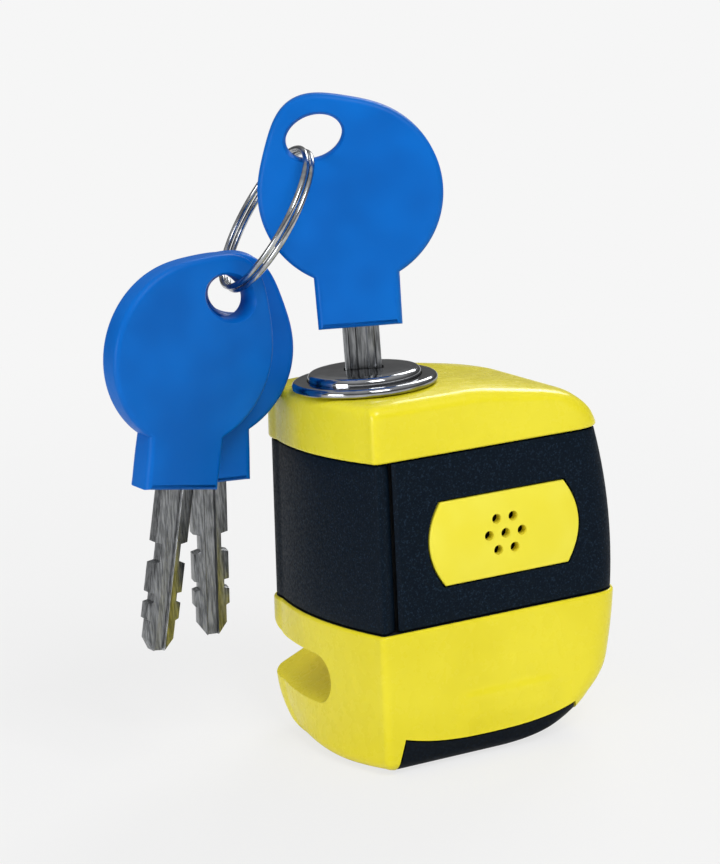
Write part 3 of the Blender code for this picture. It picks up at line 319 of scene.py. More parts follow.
# %% Metals and the board
chrome = finish(
    "chrome",
    lambda grain: grain(0.006).step(0.3, 0.7).between(rgba(150, 152, 156), rgba(182, 184, 188)),
    lambda grain: 0.08 + 0.12 * grain(0.0015, stretch=(1.0, 1.0, 8.0)).step(0.45, 0.8), metallic=1.0,
    bump=0.06, depth=0.00003, height=lambda grain: grain(0.0006, stretch=(1.0, 1.0, 6.0)))
ground_steel = finish(
    "ground_steel",
    lambda grain: grain(0.0022, stretch=(6.0, 6.0, 0.5)).step(0.3, 0.7).between(rgba(96, 98, 100),
                                                                                rgba(158, 160, 162)),
    lambda grain: 0.2 + 0.22 * grain(0.0008, stretch=(8.0, 8.0, 0.3)), metallic=1.0,
    bump=0.25, depth=0.00005, height=lambda grain: grain(0.0006, stretch=(9.0, 9.0, 0.25)))
wire_steel = finish(
    "wire_steel",
    lambda grain: grain(0.003).step(0.3, 0.7).between(rgba(150, 152, 156), rgba(196, 198, 200)),
    lambda grain: 0.12 + 0.16 * grain(0.001), metallic=1.0,
    bump=0.12, depth=0.00003, height=lambda grain: grain(0.0007))
turned_brass = finish(
    "turned_brass",
    lambda grain: grain(0.004).step(0.3, 0.7).between(rgba(190, 160, 92), rgba(214, 188, 118)),
    lambda grain: 0.22 + 0.2 * grain(0.0012, stretch=(1.0, 1.0, 12.0)), metallic=1.0,
    bump=0.2, depth=0.00004, height=lambda grain: grain(0.0006, stretch=(1.0, 1.0, 10.0)))
board_green = finish(
    "board_green",
    lambda grain: grain(0.0012, stretch=(1.0, 1.0, 8.0)).step(0.52, 0.6).between(rgba(16, 92, 46),
                                                                                 rgba(30, 122, 66)),
    lambda grain: 0.35 + 0.2 * grain(0.002), bump=0.3, depth=0.00005,
    height=lambda grain: grain(0.0009, stretch=(8.0, 1.0, 1.0)))
print("all finishes:", len(bpy.data.materials))

# %% [markdown]
# ## The plan of the body
# The casting has four sides and four rounded corners. The right end draws in towards its top and
# bottom, the back leans forward, and the left end bulges a little. The plan at any height is worked
# out once, so the casting, its waist and the cover panels all follow the same curve.

# %% Body dimensions
BODY_TOP, BAND_LOW, BAND_HIGH = 72.4 * MM, 27.6 * MM, 61.2 * MM
FRONT_Y, BACK_Y, RIGHT_X = -22.5 * MM, 26.1 * MM, 30.0 * MM
COVER_INSET, COVER_WALL, GAP = 0.6 * MM, 2.2 * MM, 0.3 * MM
EDGE_LOW = {"left": (3.0, 3.0), "right": (23.0, 14.0), "front": (3.2, 2.4), "back": (19.0, 12.5)}
EDGE_HIGH = {"left": (1.6, 1.6), "right": (6.0, 8.0), "front": (2.6, 2.6), "back": (3.0, 3.0)}
LOCK_AXIS = (-14.5 * MM, -1.6 * MM, 0.0)
PIN_AXIS = (-18.5 * MM, 7.5 * MM, 0.0)
SLOT_FLOOR, SLOT_CEILING, SLOT_END_Y = 14.0 * MM, 20.4 * MM, -6.5 * MM
SLOT_FLARE, SLOT_FLARE_X, FLARE_RUN = 3.8 * MM, 21.0 * MM, 9.0 * MM
BACK_DRAFT, FRONT_LEFT_X, FRONT_LEFT_DRAFT = 0.075, -25.4 * MM, 0.034
BACK_LEFT_X, BACK_LEFT_DRAFT, LEFT_BULGE = -30.6 * MM, 0.022, 2.4 * MM
RIGHT_WIDEST_Z, RIGHT_BELLY = 39.0 * MM, 2.5 * MM
CORNER_FRONT_LEFT, CORNER_FRONT_RIGHT, CORNER_BACK = 1.6, 7.0, 8.0
TOP_SLOPE, TOP_SLOPE_X = math.radians(9.5), 0.6 * MM
DOOR_BACK, DOOR_SPACE = -2.0 * MM, 0.3 * MM
low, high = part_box("lock_body")
print("casting:", [round(1000 * (b - a), 1) for a, b in zip(low, high)], "mm")


# %% The plan at any height
def drawn_in(run, rise, distance):
    """An elliptical edge: run (1 - sqrt(1 - p^2)), where p is how far the height is past the start."""
    p = np.clip((rise - distance) / rise, 0.0, 1.0)
    return run * (1.0 - np.sqrt(1.0 - p * p))


def corner(before, at, after, radius, steps):
    """A quadratic curve that leaves each side `radius` short of the corner point; arrays of heights."""
    def toward(other):
        way = other - at
        return at + way / np.linalg.norm(way, axis=-1, keepdims=True) * radius[..., None]
    s = np.linspace(0.0, 1.0, steps)[None, :, None]
    start, end = toward(before)[:, None], toward(after)[:, None]
    return start * (1 - s) ** 2 + at[:, None] * 2 * s * (1 - s) + end * s * s


def plan(z, inset, fine=1):
    """The outline at heights z (an array), drawn in by inset (an array): shape (heights, points, 2),
    and the index where each run of points starts."""
    z, inset = np.broadcast_arrays(np.asarray(z, float), np.asarray(inset, float))
    near = {side: drawn_in(EDGE_LOW[side][0] * MM, EDGE_LOW[side][1] * MM, z)
            + drawn_in(EDGE_HIGH[side][0] * MM, EDGE_HIGH[side][1] * MM, BODY_TOP - z) for side in EDGE_LOW}
    belly = np.minimum(RIGHT_BELLY * ((z - RIGHT_WIDEST_Z) / (BAND_HIGH - RIGHT_WIDEST_Z)) ** 2, 5.0 * MM)
    right = RIGHT_X - belly - near["right"] - inset
    front = FRONT_Y + near["front"] + inset
    back = BACK_Y - BACK_DRAFT * z - near["back"] - inset
    front_left = FRONT_LEFT_X + FRONT_LEFT_DRAFT * z + near["left"] + inset
    back_left = BACK_LEFT_X + BACK_LEFT_DRAFT * z + near["left"] + inset
    pairs = ((front_left, front), (right, front), (right, back), (back_left, back))
    a, b, c, d = [np.stack(pair, -1) for pair in pairs]

    def size(full):
        return np.maximum(full * MM - inset, 0.4 * MM)
    first = corner(d, a, b, size(CORNER_FRONT_LEFT), 8)
    second = corner(a, b, c, size(CORNER_FRONT_RIGHT), 24)
    third = corner(b, c, d, size(CORNER_BACK), 24)
    fourth = corner(c, d, a, size(CORNER_BACK), 24)

    def side(start, end, steps, bulge=0.0):
        s = np.linspace(0.0, 1.0, steps + 2)[1:-1][None, :, None]
        line = start[:, -1:] * (1 - s) + end[:, :1] * s
        line[..., 0] -= (bulge * 4.0 * s * (1 - s))[..., 0]
        return line
    runs = [first, side(first, second, 40 * fine), second, side(second, third, 20), third,
            side(third, fourth, 30), fourth, side(fourth, first, 30, LEFT_BULGE)]
    starts = np.cumsum([0] + [run.shape[1] for run in runs])
    return np.concatenate(runs, 1), starts


print("points round the body:", plan([0.0], [0.0])[0].shape[1])

# %% [markdown]
# ## The casting
# The rows of the grid follow a path of heights and insets: up from the base, round the lower rim of
# the waist, in to the core, up, and out again. One grid then holds the whole outside, with soft rims
# where the cover sits. The top is tilted by moving its points down in proportion to how far right
# they lie, which keeps its rounded edge whole. A Boolean takes out the disc slot, since a cut through
# a curved body has an outline that no grid follows.

# %% The casting's outside
def casting_rows():
    """Pairs of height and inset: elliptical ends closely spaced, and a quarter round at each rim."""
    base = np.concatenate([np.linspace(0.0, 3.0, 16)[:-1], np.linspace(3.0, 15.0, 20)[:-1],
                           np.linspace(15.0, 27.0, 8)])
    turn = np.linspace(0.0, 0.5 * math.pi, 6)
    rim, depth = 0.55, 3.1
    lower = np.stack([BAND_LOW / MM - rim + rim * np.sin(turn), rim * (1 - np.cos(turn))], -1)
    floor = [[BAND_LOW / MM, 2.0], [BAND_LOW / MM, depth]]
    core = [[z, depth] for z in np.linspace(BAND_LOW / MM, BAND_HIGH / MM, 6)[1:-1]]
    roof = [[BAND_HIGH / MM, depth], [BAND_HIGH / MM, 2.0]]
    upper = np.stack([BAND_HIGH / MM + rim - rim * np.sin(turn), rim * (1 - np.cos(turn))], -1)[::-1]
    crown = np.concatenate([np.linspace(62.0, 66.0, 6),
                            BODY_TOP / MM - 6.0 * np.cos(np.linspace(0.15, 0.5 * math.pi, 20))])
    sides = [np.stack([part, 0 * part], -1) for part in (base, crown)]
    return np.concatenate([sides[0], lower, floor, core, roof, upper, sides[1]]) * MM


rows = casting_rows()
outline, _ = plan(rows[:, 0], rows[:, 1], 2)
height = np.broadcast_to(rows[:, :1], outline.shape[:2]).copy()
past = outline[..., 0] - TOP_SLOPE_X
ramp = 0.5 * (past + np.sqrt(past ** 2 + (2.5 * MM) ** 2)) - 0.5 * MM
lift = np.clip((height - BAND_HIGH - MM) / (BODY_TOP - BAND_HIGH - MM), 0.0, 1.0)
height -= np.maximum(ramp, 0.0) * math.tan(TOP_SLOPE) * lift
across, along = outline[..., 0], outline[..., 1]
swell = np.clip((across + 9.5 * MM) / (3 * MM), 0, 1) * np.clip((14 * MM - across) / (3 * MM), 0, 1)
swell *= np.clip((13.4 * MM - height) / (1.2 * MM), 0, 1) * np.clip((height - 5.0 * MM) / (3.0 * MM), 0, 1)
along -= np.where(along < -18 * MM, 0.35 * MM * swell, 0.0)
casting = solid("casting_shell", np.concatenate([outline, height[..., None]], -1))
print("casting grid:", outline.shape[:2])


# %% The disc slot and the pin's holes
def slot_sections():
    """The slot's section at places along X: a half-round end, a floor that drops towards each side of
    the body, a flat roof, and rounded edges where both meet the back."""
    x = np.array([-36.0, -31.0, -26.0, -22.6, -21.6, -21.0, -20.2, 0.0, 20.2, 21.0, 22.0, 27.0, 34.0]) * MM
    drop = np.maximum(np.abs(x) - SLOT_FLARE_X, 0.0) * (SLOT_FLARE / FLARE_RUN)
    floor, roof = SLOT_FLOOR - drop, SLOT_CEILING + 0.0 * x
    radius = 0.5 * (roof - floor)
    a = np.radians(np.linspace(90.0, 270.0, 25))
    end_y = SLOT_END_Y + radius[:, None] * (1 + np.cos(a))
    end_z = (floor + radius)[:, None] + radius[:, None] * np.sin(a)
    s = np.linspace(0.0, 1.0, 9)
    sill_y, sill_drop = np.append(23.7 + 2.9 * s, 31.1) * MM, np.append(2.4 * s ** 2, 2.6) * MM
    lintel_y, lintel_rise = np.append(31.1, 23.9 - 10.3 * s) * MM, np.append(6.6, 5.0 * (1.0 - s) ** 2) * MM
    across = np.ones((len(x), 1))
    y = np.concatenate([end_y, across * sill_y, across * lintel_y], 1)
    z = np.concatenate([end_z, floor[:, None] - sill_drop, roof[:, None] + lintel_rise], 1)
    return np.stack([np.broadcast_to(x[:, None], y.shape), y, z], -1)


slot_cutter = solid("slot_cutter", slot_sections())
socket_profile = np.array([(4.1, 8.0), (4.1, 12.6), (5.5, 14.02), (5.5, 16.0)]) * MM
pin_socket = spin("pin_socket", socket_profile, PIN_AXIS, 64)
pin_guide = spin("pin_guide", [(4.95 * MM, 18 * MM), (4.95 * MM, 26.7 * MM)], PIN_AXIS, 64)
key_bore = spin("key_bore", [(10.3 * MM, 47.7 * MM), (10.3 * MM, 80 * MM)], LOCK_AXIS, 64)
cut(casting, slot_cutter, pin_socket, pin_guide, key_bore)
print("casting faces:", len(casting.data.polygons))

# %% [markdown]
# The battery door closes the base at the front. Its upper edge is a shallow arch, and the casting is
# cut back to the same arch with a narrow gap.


# %% The battery door
def door_edge(grow):
    """The door seen from the front: straight sloping sides and a top that rises towards both ends."""
    x = np.linspace(-20.6 - grow, 16.5 + grow, 33)
    middle = -2.05
    top = 3.9 + 2.2 * np.abs((x - middle) / 18.55) ** 2.6 + grow
    upper = np.stack([x, top], -1)
    lower = np.array([[19.5 + grow, -2.0], [-23.6 - grow, -2.0]])
    return np.concatenate([upper, lower]) * MM


def carried_along_y(name, outline, low, high):
    """An outline in X and Z carried straight along Y."""
    rings = [np.insert(outline, 1, y, axis=1) for y in (low, high)]
    return solid(name, np.array(rings))


door_rows = np.concatenate([np.linspace(0.0, 3.0, 16)[:-1], np.linspace(3.0, 12.0, 14)]) * MM
door_plan, _ = plan(door_rows, 0.25 * MM + 0 * door_rows)
door_heights = np.broadcast_to(door_rows[:, None, None], (*door_plan.shape[:2], 1))
door = solid("battery_door_skin", np.concatenate([door_plan, door_heights], -1))
region = carried_along_y("door_region", door_edge(0.0), FRONT_Y - 5 * MM, DOOR_BACK)
step = door.modifiers.new("keep", "BOOLEAN")
step.operation, step.object, step.solver = "INTERSECT", region, "EXACT"
settle(door)
bpy.data.objects.remove(region)
cut(casting, carried_along_y("door_space", door_edge(0.35), FRONT_Y - 5 * MM, DOOR_BACK + DOOR_SPACE))
door.data.shade_smooth()
door.data.set_sharp_from_angle(angle=math.radians(38.0))
print("door faces:", len(door.data.polygons))

# %% [markdown]
# ## The waist cover
# Three panels wrap the waist. Each is the body's plan between two seams, given a wall: the outer run
# of points goes one way and the inner run comes back. The rows at the top and bottom draw in a little
# so that the panels' rims catch the light as moulded ones do.


# %% Cover panels
def panel(name, first, last):
    """A panel of the cover from one place round the plan to another, counted in points."""
    half = np.linspace(0.0, 0.5 * math.pi, 5)
    soft = 0.4 * MM
    low, high = BAND_LOW + GAP, BAND_HIGH - GAP
    z = np.concatenate([low + soft * (1 - np.cos(half)), np.linspace(low + soft, high - soft, 14)[1:-1],
                        high - soft * (1 - np.cos(half[::-1]))])
    rim = np.concatenate([soft * (1 - np.sin(half)), np.zeros(12), soft * (1 - np.sin(half[::-1]))])
    outer, _ = plan(z, COVER_INSET + rim)
    inner, _ = plan(z, COVER_INSET + COVER_WALL + 0 * z)
    count = outer.shape[1]
    picked = np.arange(first, last if last > first else last + count) % count
    face, back = outer[:, picked], inner[:, picked]
    for end in (0, -1):
        face[:, end] = 0.72 * face[:, end] + 0.28 * back[:, end]
    section = np.concatenate([face, back[:, ::-1]], 1)
    rings = np.concatenate([section, np.broadcast_to(z[:, None, None], (*section.shape[:2], 1))], -1)
    return solid(name, rings)


_, starts = plan([0.04], [0.0])
seam_front = starts[1] + 1
seam_right = (starts[3] + starts[4]) // 2
seam_back = starts[6] - 3
front_panel = panel("front_panel", seam_front, seam_right)
rear_panel = panel("rear_panel", seam_right, seam_back)
left_panel = panel("left_panel", seam_back, seam_front)
print("cover panels:", [len(piece.data.polygons) for piece in (front_panel, rear_panel, left_panel)])

# %% [markdown]
# The rear panel and the door are held by countersunk screws, so both get a hole round each head.


# %% Screw holes
def screw_hole(node, facing):
    """A countersunk hole round a screw that stays. It takes its place from the screw's own box."""
    low, high = (Vector(corner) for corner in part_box(node))
    out = facing @ Vector((0.0, 0.0, 1.0))
    head = 0.5 * (low + high) + 0.5 * Vector([a * b for a, b in zip(out, high - low)])
    profile = [(1.25, -6.0), (1.25, -1.35), (2.25, -0.2), (2.25, 4.0)]
    hole = spin("hole_" + node, np.array(profile) * MM, segments=48)
    hole.data.transform(Matrix.Translation(head) @ facing)
    return hole


backward, downward = Matrix.Rotation(-0.5 * math.pi, 4, "X"), Matrix.Rotation(math.pi, 4, "X")
cut(rear_panel, *[screw_hole(f"rear_screw_{number}", backward) for number in (1, 2, 3, 4)])
cut(door, *[screw_hole(f"door_screw_{number}", downward) for number in (1, 2)])
print("faces with holes:", len(rear_panel.data.polygons), len(door.data.polygons))

# %% [markdown]
# ## Badges
# A bare pill-shaped badge sits in an opening of the front panel and another in the rear one. The
# outline has straight upper and lower edges and bowed ends. The front one lets the siren's sound out
# through a ring of small holes.


# %% Badges and their openings
def pill(grow):
    """Badge outline: bowed ends, where across = half + bow (1 - t^2), counted anticlockwise."""
    t = np.linspace(-1.0, 1.0, 25)
    across = 13.5 + grow + 2.9 * (1 - t ** 2)
    right = np.stack([3.7 + across, 43.5 + t * (8.3 + grow)], -1)
    left = np.stack([3.7 - across[::-1], 43.5 + t[::-1] * (8.3 + grow)], -1)
    flat_top = np.stack([np.linspace(17.2 + grow, -9.8 - grow, 14)[1:-1], np.full(12, 51.8 + grow)], -1)
    flat_low = np.stack([np.linspace(-9.8 - grow, 17.2 + grow, 14)[1:-1], np.full(12, 35.2 - grow)], -1)
    return np.concatenate([right, flat_top, left, flat_low]) * MM


cut(front_panel, carried_along_y("opening", pill(0.32), FRONT_Y - 3 * MM, FRONT_Y + 5 * MM))
front_badge = slab("badge_face", pill(0.0), 1.0 * MM, 0.45 * MM)
front_badge.location.y = FRONT_Y + 1.2 * MM
bpy.context.view_layer.update()
settle(front_badge)
angles = np.radians(np.arange(6) * 60.0)
spots = [(3.7, 43.5)] + [(3.7 + 3.6 * math.cos(a), 43.5 + 3.6 * math.sin(a)) for a in angles]
ring = np.linspace(0.0, 2.0 * math.pi, 24, endpoint=False)
circle = np.stack([np.cos(ring), np.sin(ring)], -1)
holes = [carried_along_y("hole", (np.array(spot) + circle) * MM, -25 * MM, -18 * MM) for spot in spots]
cut(front_badge, *holes)
rear_low, rear_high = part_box("rear_badge")
cut(rear_panel, carried_along_y("opening", pill(0.32), rear_low[1] - 4 * MM, rear_high[1] + 4 * MM))
rear_badge = slab("rear_badge_face", pill(0.0), 1.0 * MM, 0.45 * MM)
rear_badge.location.y = 0.5 * (rear_low[1] + rear_high[1])
bpy.context.view_layer.update()
settle(rear_badge)
print("badges:", len(front_badge.data.polygons), len(rear_badge.data.polygons))

# %% [markdown]
# ## The chromed cylinder face
# The escutcheon is a turned washer and the plug's cap a low turned dome with a bevelled rim. Both are
# profiles spun about the lock's axis. The keyway is cut through the cap along the key's direction.


# %% Escutcheon and cap
def rounded_profile(inner, outer, low, high, radius):
    """A washer's or disc's section with its upper outer edge rounded, as (radius, height) pairs."""
    a = np.linspace(0.0, 0.5 * math.pi, 8)
    shoulder = np.stack([outer - radius + radius * np.cos(a), high - radius + radius * np.sin(a)], -1)
    foot = [[inner, low], [outer - 0.3 * MM, low], [outer, low + 0.3 * MM]]
    return np.concatenate([foot, shoulder, [[inner, high]]])


def washer(name, profile, axis):
    """A closed section turned about an upright axis, so the solid has a hole through it."""
    angle = np.linspace(0.0, 2.0 * math.pi, 144, endpoint=False)
    radius, height = profile[:, 0], profile[:, 1]
    ring = np.stack([axis[0] + np.outer(np.cos(angle), radius), axis[1] + np.outer(np.sin(angle), radius),
                     np.broadcast_to(height, (len(angle), len(radius)))], -1)
    rows, columns = ring.shape[:2]
    down, across = np.meshgrid(np.arange(rows), np.arange(columns), indexing="ij")
    steps = ((0, 0), (1, 0), (1, 1), (0, 1))
    faces = np.stack([(down + i) % rows * columns + (across + j) % columns for i, j in steps], -1)
    mesh = mesh_from(name, ring.reshape(-1, 3).tolist(), faces.reshape(-1, 4).tolist())
    mesh.shade_smooth()
    mesh.set_sharp_from_angle(angle=math.radians(40.0))
    piece = bpy.data.objects.new(name, mesh)
    bpy.context.scene.collection.objects.link(piece)
    return piece


flange_profile = rounded_profile(11.35 * MM, 14.4 * MM, 72.7 * MM, 74.3 * MM, 0.9 * MM)
escutcheon = washer("escutcheon_ring", flange_profile, LOCK_AXIS)
a = np.linspace(0.0, 0.5 * math.pi, 8)
cap_foot = [[0.02, 72.7], [11.0, 72.7], [11.2, 72.9], [11.2, 74.4]]
cap_crown = [[9.4, 75.95], [8.9, 76.0], [0.02, 76.0]]
cap_rim = np.stack([10.1 + 1.1 * np.cos(a), 74.7 + 1.1 * np.sin(a)], -1)
cap = spin("cap_face", np.concatenate([cap_foot, cap_rim, cap_crown]) * MM, LOCK_AXIS, 144)
KEY_YAW = math.radians(-24.0)
keyway_outline = np.array([[-3.9, 70.0], [3.9, 70.0], [3.9, 80.0], [-3.9, 80.0]]) * MM
keyway = slab("keyway", keyway_outline, 1.6 * MM, 0.1 * MM)
keyway.matrix_world = Matrix.Translation(LOCK_AXIS) @ Matrix.Rotation(KEY_YAW, 4, "Z")
cut(cap, keyway)
print("cap faces:", len(cap.data.polygons))

# %% [markdown]
# ## Keys
# A key head is a moulded plate: a round bow that swells into an ear beside the eye, on a narrower
# collar. The blade is a flat bar with a groove along each face and three pairs of cuts near its
# point. One head and one blade are made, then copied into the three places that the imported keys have.


# %% Key outlines
def bow_outline():
    """The bow: radius = 17.9 plus a bell-shaped rise of 3.2 about 119 degrees, closed by the collar."""
    start = math.asin(-0.885)
    angle = np.linspace(start, math.pi - start, 150)
    radius = 17.9 + 3.2 * np.exp(-((angle - math.radians(119.0)) / math.radians(24.0)) ** 2)
    arc = np.stack([radius * np.cos(angle), 26.0 + radius * np.sin(angle)], -1)
    left = np.stack([np.linspace(arc[-1, 0], -8.2, 8)[1:], np.linspace(arc[-1, 1], 0.0, 8)[1:]], -1)
    base = np.stack([np.linspace(-8.2, 8.2, 18)[1:], np.zeros(17)], -1)
    right = np.stack([np.linspace(8.2, arc[0, 0], 8)[1:-1], np.linspace(0.0, arc[0, 1], 8)[1:-1]], -1)
    return np.concatenate([arc, left, base, right]) * MM


def ellipse(grow):
    """The eye: an ellipse of 5.6 by 4.1 turned by 18 degrees."""
    t = np.linspace(0.0, 2.0 * math.pi, 64, endpoint=False)
    x, z = (5.6 + grow) * np.cos(t), (4.1 + grow) * np.sin(t)
    tilt = math.radians(18.0)
    return np.stack([-6.2 + x * math.cos(tilt) - z * math.sin(tilt),
                     37.3 + x * math.sin(tilt) + z * math.cos(tilt)], -1) * MM


def flared(name, outline, half, extra):
    """A cutter that widens near each face: rings of the outline grown by extra, then 0, then extra."""
    levels = np.array([-half - 0.6 * MM, -half + 0.7 * MM, half - 0.7 * MM, half + 0.6 * MM])
    rings = [np.insert(outline(grow), 1, y, axis=1) for y, grow in zip(levels, (extra, 0.0, 0.0, extra))]
    return solid(name, np.array(rings))


def key_head_shape(name):
    """The bow and collar in one plate. Its thickness swells by a fifth from the bow down to the collar:
    y is multiplied by 1.22 - 0.22 s, with s rising smoothly from 0 to 1 between 5 and 15 mm."""
    head = slab(name, bow_outline(), 2.7 * MM, 1.15 * MM, 9)
    points = np.array([v.co for v in head.data.vertices])
    s = np.clip((points[:, 2] - 5 * MM) / (10 * MM), 0.0, 1.0)
    points[:, 1] *= 1.22 - 0.22 * s * s * (3.0 - 2.0 * s)
    head.data.vertices.foreach_set("co", points.ravel())
    pocket_outline = np.array([[-3.9, -1.0], [3.9, -1.0], [3.9, 11.3], [-3.9, 11.3]]) * MM
    pocket = slab("pocket", pocket_outline, 1.6 * MM, 0.1 * MM)
    return cut(head, flared("eye", ellipse, 2.7 * MM, 1.0), pocket)


def blade_edge():
    """Half of the blade's width down its length, with square cuts, then mirrored to the other side."""
    pairs = [(3.6, 11.0), (3.6, -10.5), (2.2, -10.9), (2.2, -14.3), (3.6, -14.7), (3.6, -20.4), (2.6, -20.6),
             (2.6, -22.2), (3.6, -22.5), (3.6, -25.6), (2.9, -26.0), (2.9, -29.6), (1.2, -32.0)]
    right = np.array(pairs)[::-1]
    left = right[::-1] * [-1, 1]
    return np.concatenate([right, left]) * MM


def key_blade_shape(name):
    blade = slab(name, blade_edge(), 1.3 * MM, 0.18 * MM, 3)
    cutters = []
    for side in (-1.0, 1.0):
        section = np.array([[-1.5, 1.9], [-0.9, 0.65], [0.9, 0.65], [1.5, 1.9]]) * MM
        rings = [np.stack([section[:, 0], side * section[:, 1], np.full(4, z)], -1) for z in (-34 * MM, 12 * MM)]
        cutters.append(solid("groove", np.array(rings)))
    for x in (-2.55, 2.55):
        section = np.array([[x - 0.28, 1.7], [x, 1.12], [x + 0.28, 1.7]]) * MM
        rings = [np.stack([section[:, 0], -section[:, 1], np.full(3, z)], -1) for z in (-34 * MM, 12 * MM)]
        cutters.append(solid("fine_groove", np.array(rings)))
    return cut(blade, *cutters)


head_shape = key_head_shape("head_shape")
blade_shape = key_blade_shape("blade_shape")
print("key head and blade:", len(head_shape.data.polygons), len(blade_shape.data.polygons))


# %% Where the keys and the ring lie
# The ring hangs in the inserted key's eye, and each spare key hangs by its eye from the ring.
def unit(vector):
    vector = np.asarray(vector, float)
    return vector / np.linalg.norm(vector)


width = np.array([math.cos(KEY_YAW), math.sin(KEY_YAW), 0.0])
toward = np.array([math.sin(KEY_YAW), -math.cos(KEY_YAW), 0.0])
upright = np.array([0.0, 0.0, 1.0])
key_seat = 84.5 * MM
ring_radius = 15.0 * MM
low_way = unit([-16.62, 3.53, -25.0])
ring_up = -(width * low_way[0] + toward * low_way[1] + upright * low_way[2])
facing = width * math.sin(math.radians(16.6)) + toward * math.cos(math.radians(16.6))
ring_across = unit(facing - ring_up * facing.dot(ring_up))
ring_normal = np.cross(ring_up, ring_across)
ring_top = np.array(LOCK_AXIS) + width * -8.34 * MM + upright * (key_seat + 34.73 * MM)
ring_centre = ring_top - ring_up * ring_radius


def spare_place(along, yaw, lean, pitch, wire):
    """A spare key's frame: its eye's wire point on the ring, then its turn, lean and pitch."""
    along = math.radians(along)
    spot = ring_centre + ring_radius * (ring_across * math.sin(along) - ring_up * math.cos(along))
    turn = Matrix.Rotation(KEY_YAW + math.pi + math.radians(yaw), 4, "Z")
    turn = turn @ Matrix.Rotation(math.radians(lean), 4, "Y") @ Matrix.Rotation(math.radians(pitch), 4, "X")
    return Matrix.Translation(spot) @ turn @ Matrix.Translation(-Vector(wire) * MM)


key_places = {
    1: Matrix.Translation((LOCK_AXIS[0], LOCK_AXIS[1], key_seat)) @ Matrix.Rotation(KEY_YAW, 4, "Z"),
    2: spare_place(15.7, 36.57, -11.21, -3.98, (-8.6, 0.0, 38.93)),
    3: spare_place(-13.89, 18.51, -2.34, -4.14, (-4.89, 0.0, 39.52)),
}


# %% Place the keys
def placed_copy(shape, name, place):
    mesh = shape.data.copy()
    mesh.name = name
    mesh.transform(place)
    piece = bpy.data.objects.new(name, mesh)
    bpy.context.scene.collection.objects.link(piece)
    return piece


keys = {}
for number, place in key_places.items():
    keys[number] = (placed_copy(head_shape, f"head_{number}", place),
                    placed_copy(blade_shape, f"blade_{number}", place))
bpy.data.objects.remove(head_shape)
bpy.data.objects.remove(blade_shape)
for number, (head, blade) in keys.items():
    low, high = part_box(f"key_head_{number}")
    corners = np.array([v.co for v in head.data.vertices])
    off = np.abs(np.r_[corners.min(0) - low, corners.max(0) - high]).max()
    print("key", number, "off by", np.round(1000 * off, 2), "mm")


# %% The split ring
def split_ring():
    """Wire along two flat turns that lie side by side. The wire steps over from one to the other in a
    short stretch, and its two ends stop on either side of that step."""
    steps, sides = 360, 16
    gap = math.radians(12.0)
    angle = np.linspace(gap, 4.0 * math.pi - gap, steps)
    shift = 0.66 * MM * np.sin(0.5 * math.pi * np.clip((angle - 2.0 * math.pi) / gap, -1.0, 1.0))
    turn = math.radians(215.0) + angle
    radial = np.outer(np.cos(turn), ring_up) + np.outer(np.sin(turn), ring_across)
    path = ring_centre + radial * ring_radius + shift[:, None] * ring_normal
    around = np.linspace(0.0, 2.0 * math.pi, sides, endpoint=False)
    thick = np.full(steps, 0.57 * MM)
    thick[[0, -1]] *= 0.8
    rings = path[:, None] + thick[:, None, None] * (np.cos(around)[None, :, None] * radial[:, None]
                                                    + np.sin(around)[None, :, None] * ring_normal)
    return solid("split_ring", rings, 60.0)


ring_piece = split_ring()
print("ring faces:", len(ring_piece.data.polygons))

# %% [markdown]
# ## Finishes, bodies and hidden solids
# Each new piece rides on the body of the solid that it stands for. The solids that stay get a node
# material of their own as well, so that the inside looks right when the lock is taken apart.

# %% Dress the new pieces
dressed = [
    (casting, paint, "lock", ["lock_body"]), (door, door_black, "lock", ["battery_door"]),
    (front_panel, cover_black, "lock", ["front_cover"]), (rear_panel, cover_black, "lock", ["rear_cover"]),
    (left_panel, cover_black, "lock", ["left_cover"]), (front_badge, badge_yellow, "lock", ["front_badge"]),
    (rear_badge, badge_yellow, "lock", ["rear_badge"]), (escutcheon, chrome, "lock", ["escutcheon"]),
    (cap, chrome, "plug", ["plug_cap"]), (ring_piece, wire_steel, "ring", ["key_ring"])]
for number, (head, blade) in keys.items():
    dressed.append((head, key_blue, f"key_{number}", [f"key_head_{number}"]))
    dressed.append((blade, ground_steel, f"key_{number}", [f"key_blade_{number}"]))
middle = np.array([face.center for face in casting.data.polygons])
inside_waist = (middle[:, 2] > BAND_LOW - 0.01 * MM) & (middle[:, 2] < BAND_HIGH + 0.01 * MM)
slot_of = {item["node"]: item["material_slot"] for item in frame["record"]["subparts"]}
for piece, material, body, nodes in dressed:
    piece.data.materials.clear()
    piece.data.materials.append(material)
    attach(piece, body)
    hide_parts(*nodes)
# The waist core's faces take the near-black painted seam shade, so the gaps between the cover panels read dark.
casting.data.materials.append(painted_seam_shade)
casting.data.polygons.foreach_set("material_index", inside_waist.astype(np.int32))
print("new pieces:", len(dressed))

# %% Dress the solids that stay
by_slot = {"painted_zinc": paint, "cover": cover_black, "badge": badge_yellow, "chrome": chrome,
           "steel": ground_steel, "brass": turned_brass, "key_plastic": key_blue, "board": board_green,
           "rubber": seal_rubber, "dark_plastic": dark_plastic}
replaced = {node for _, _, _, nodes in dressed for node in nodes}
for name, node in frame["nodes"].items():
    if name not in replaced:
        node.data.materials.clear()
        node.data.materials.append(by_slot[slot_of[name]])
print("solids kept:", len(frame["nodes"]) - len(replaced))

# %% [markdown]
# ## Camera, floor and light
# The camera stands well back with a long lens, a little above the lock and to its left. The floor is
# pale and reads as white to the camera, yet still takes a soft shadow. Two large soft lamps and a
# pale surrounding light the lock evenly.

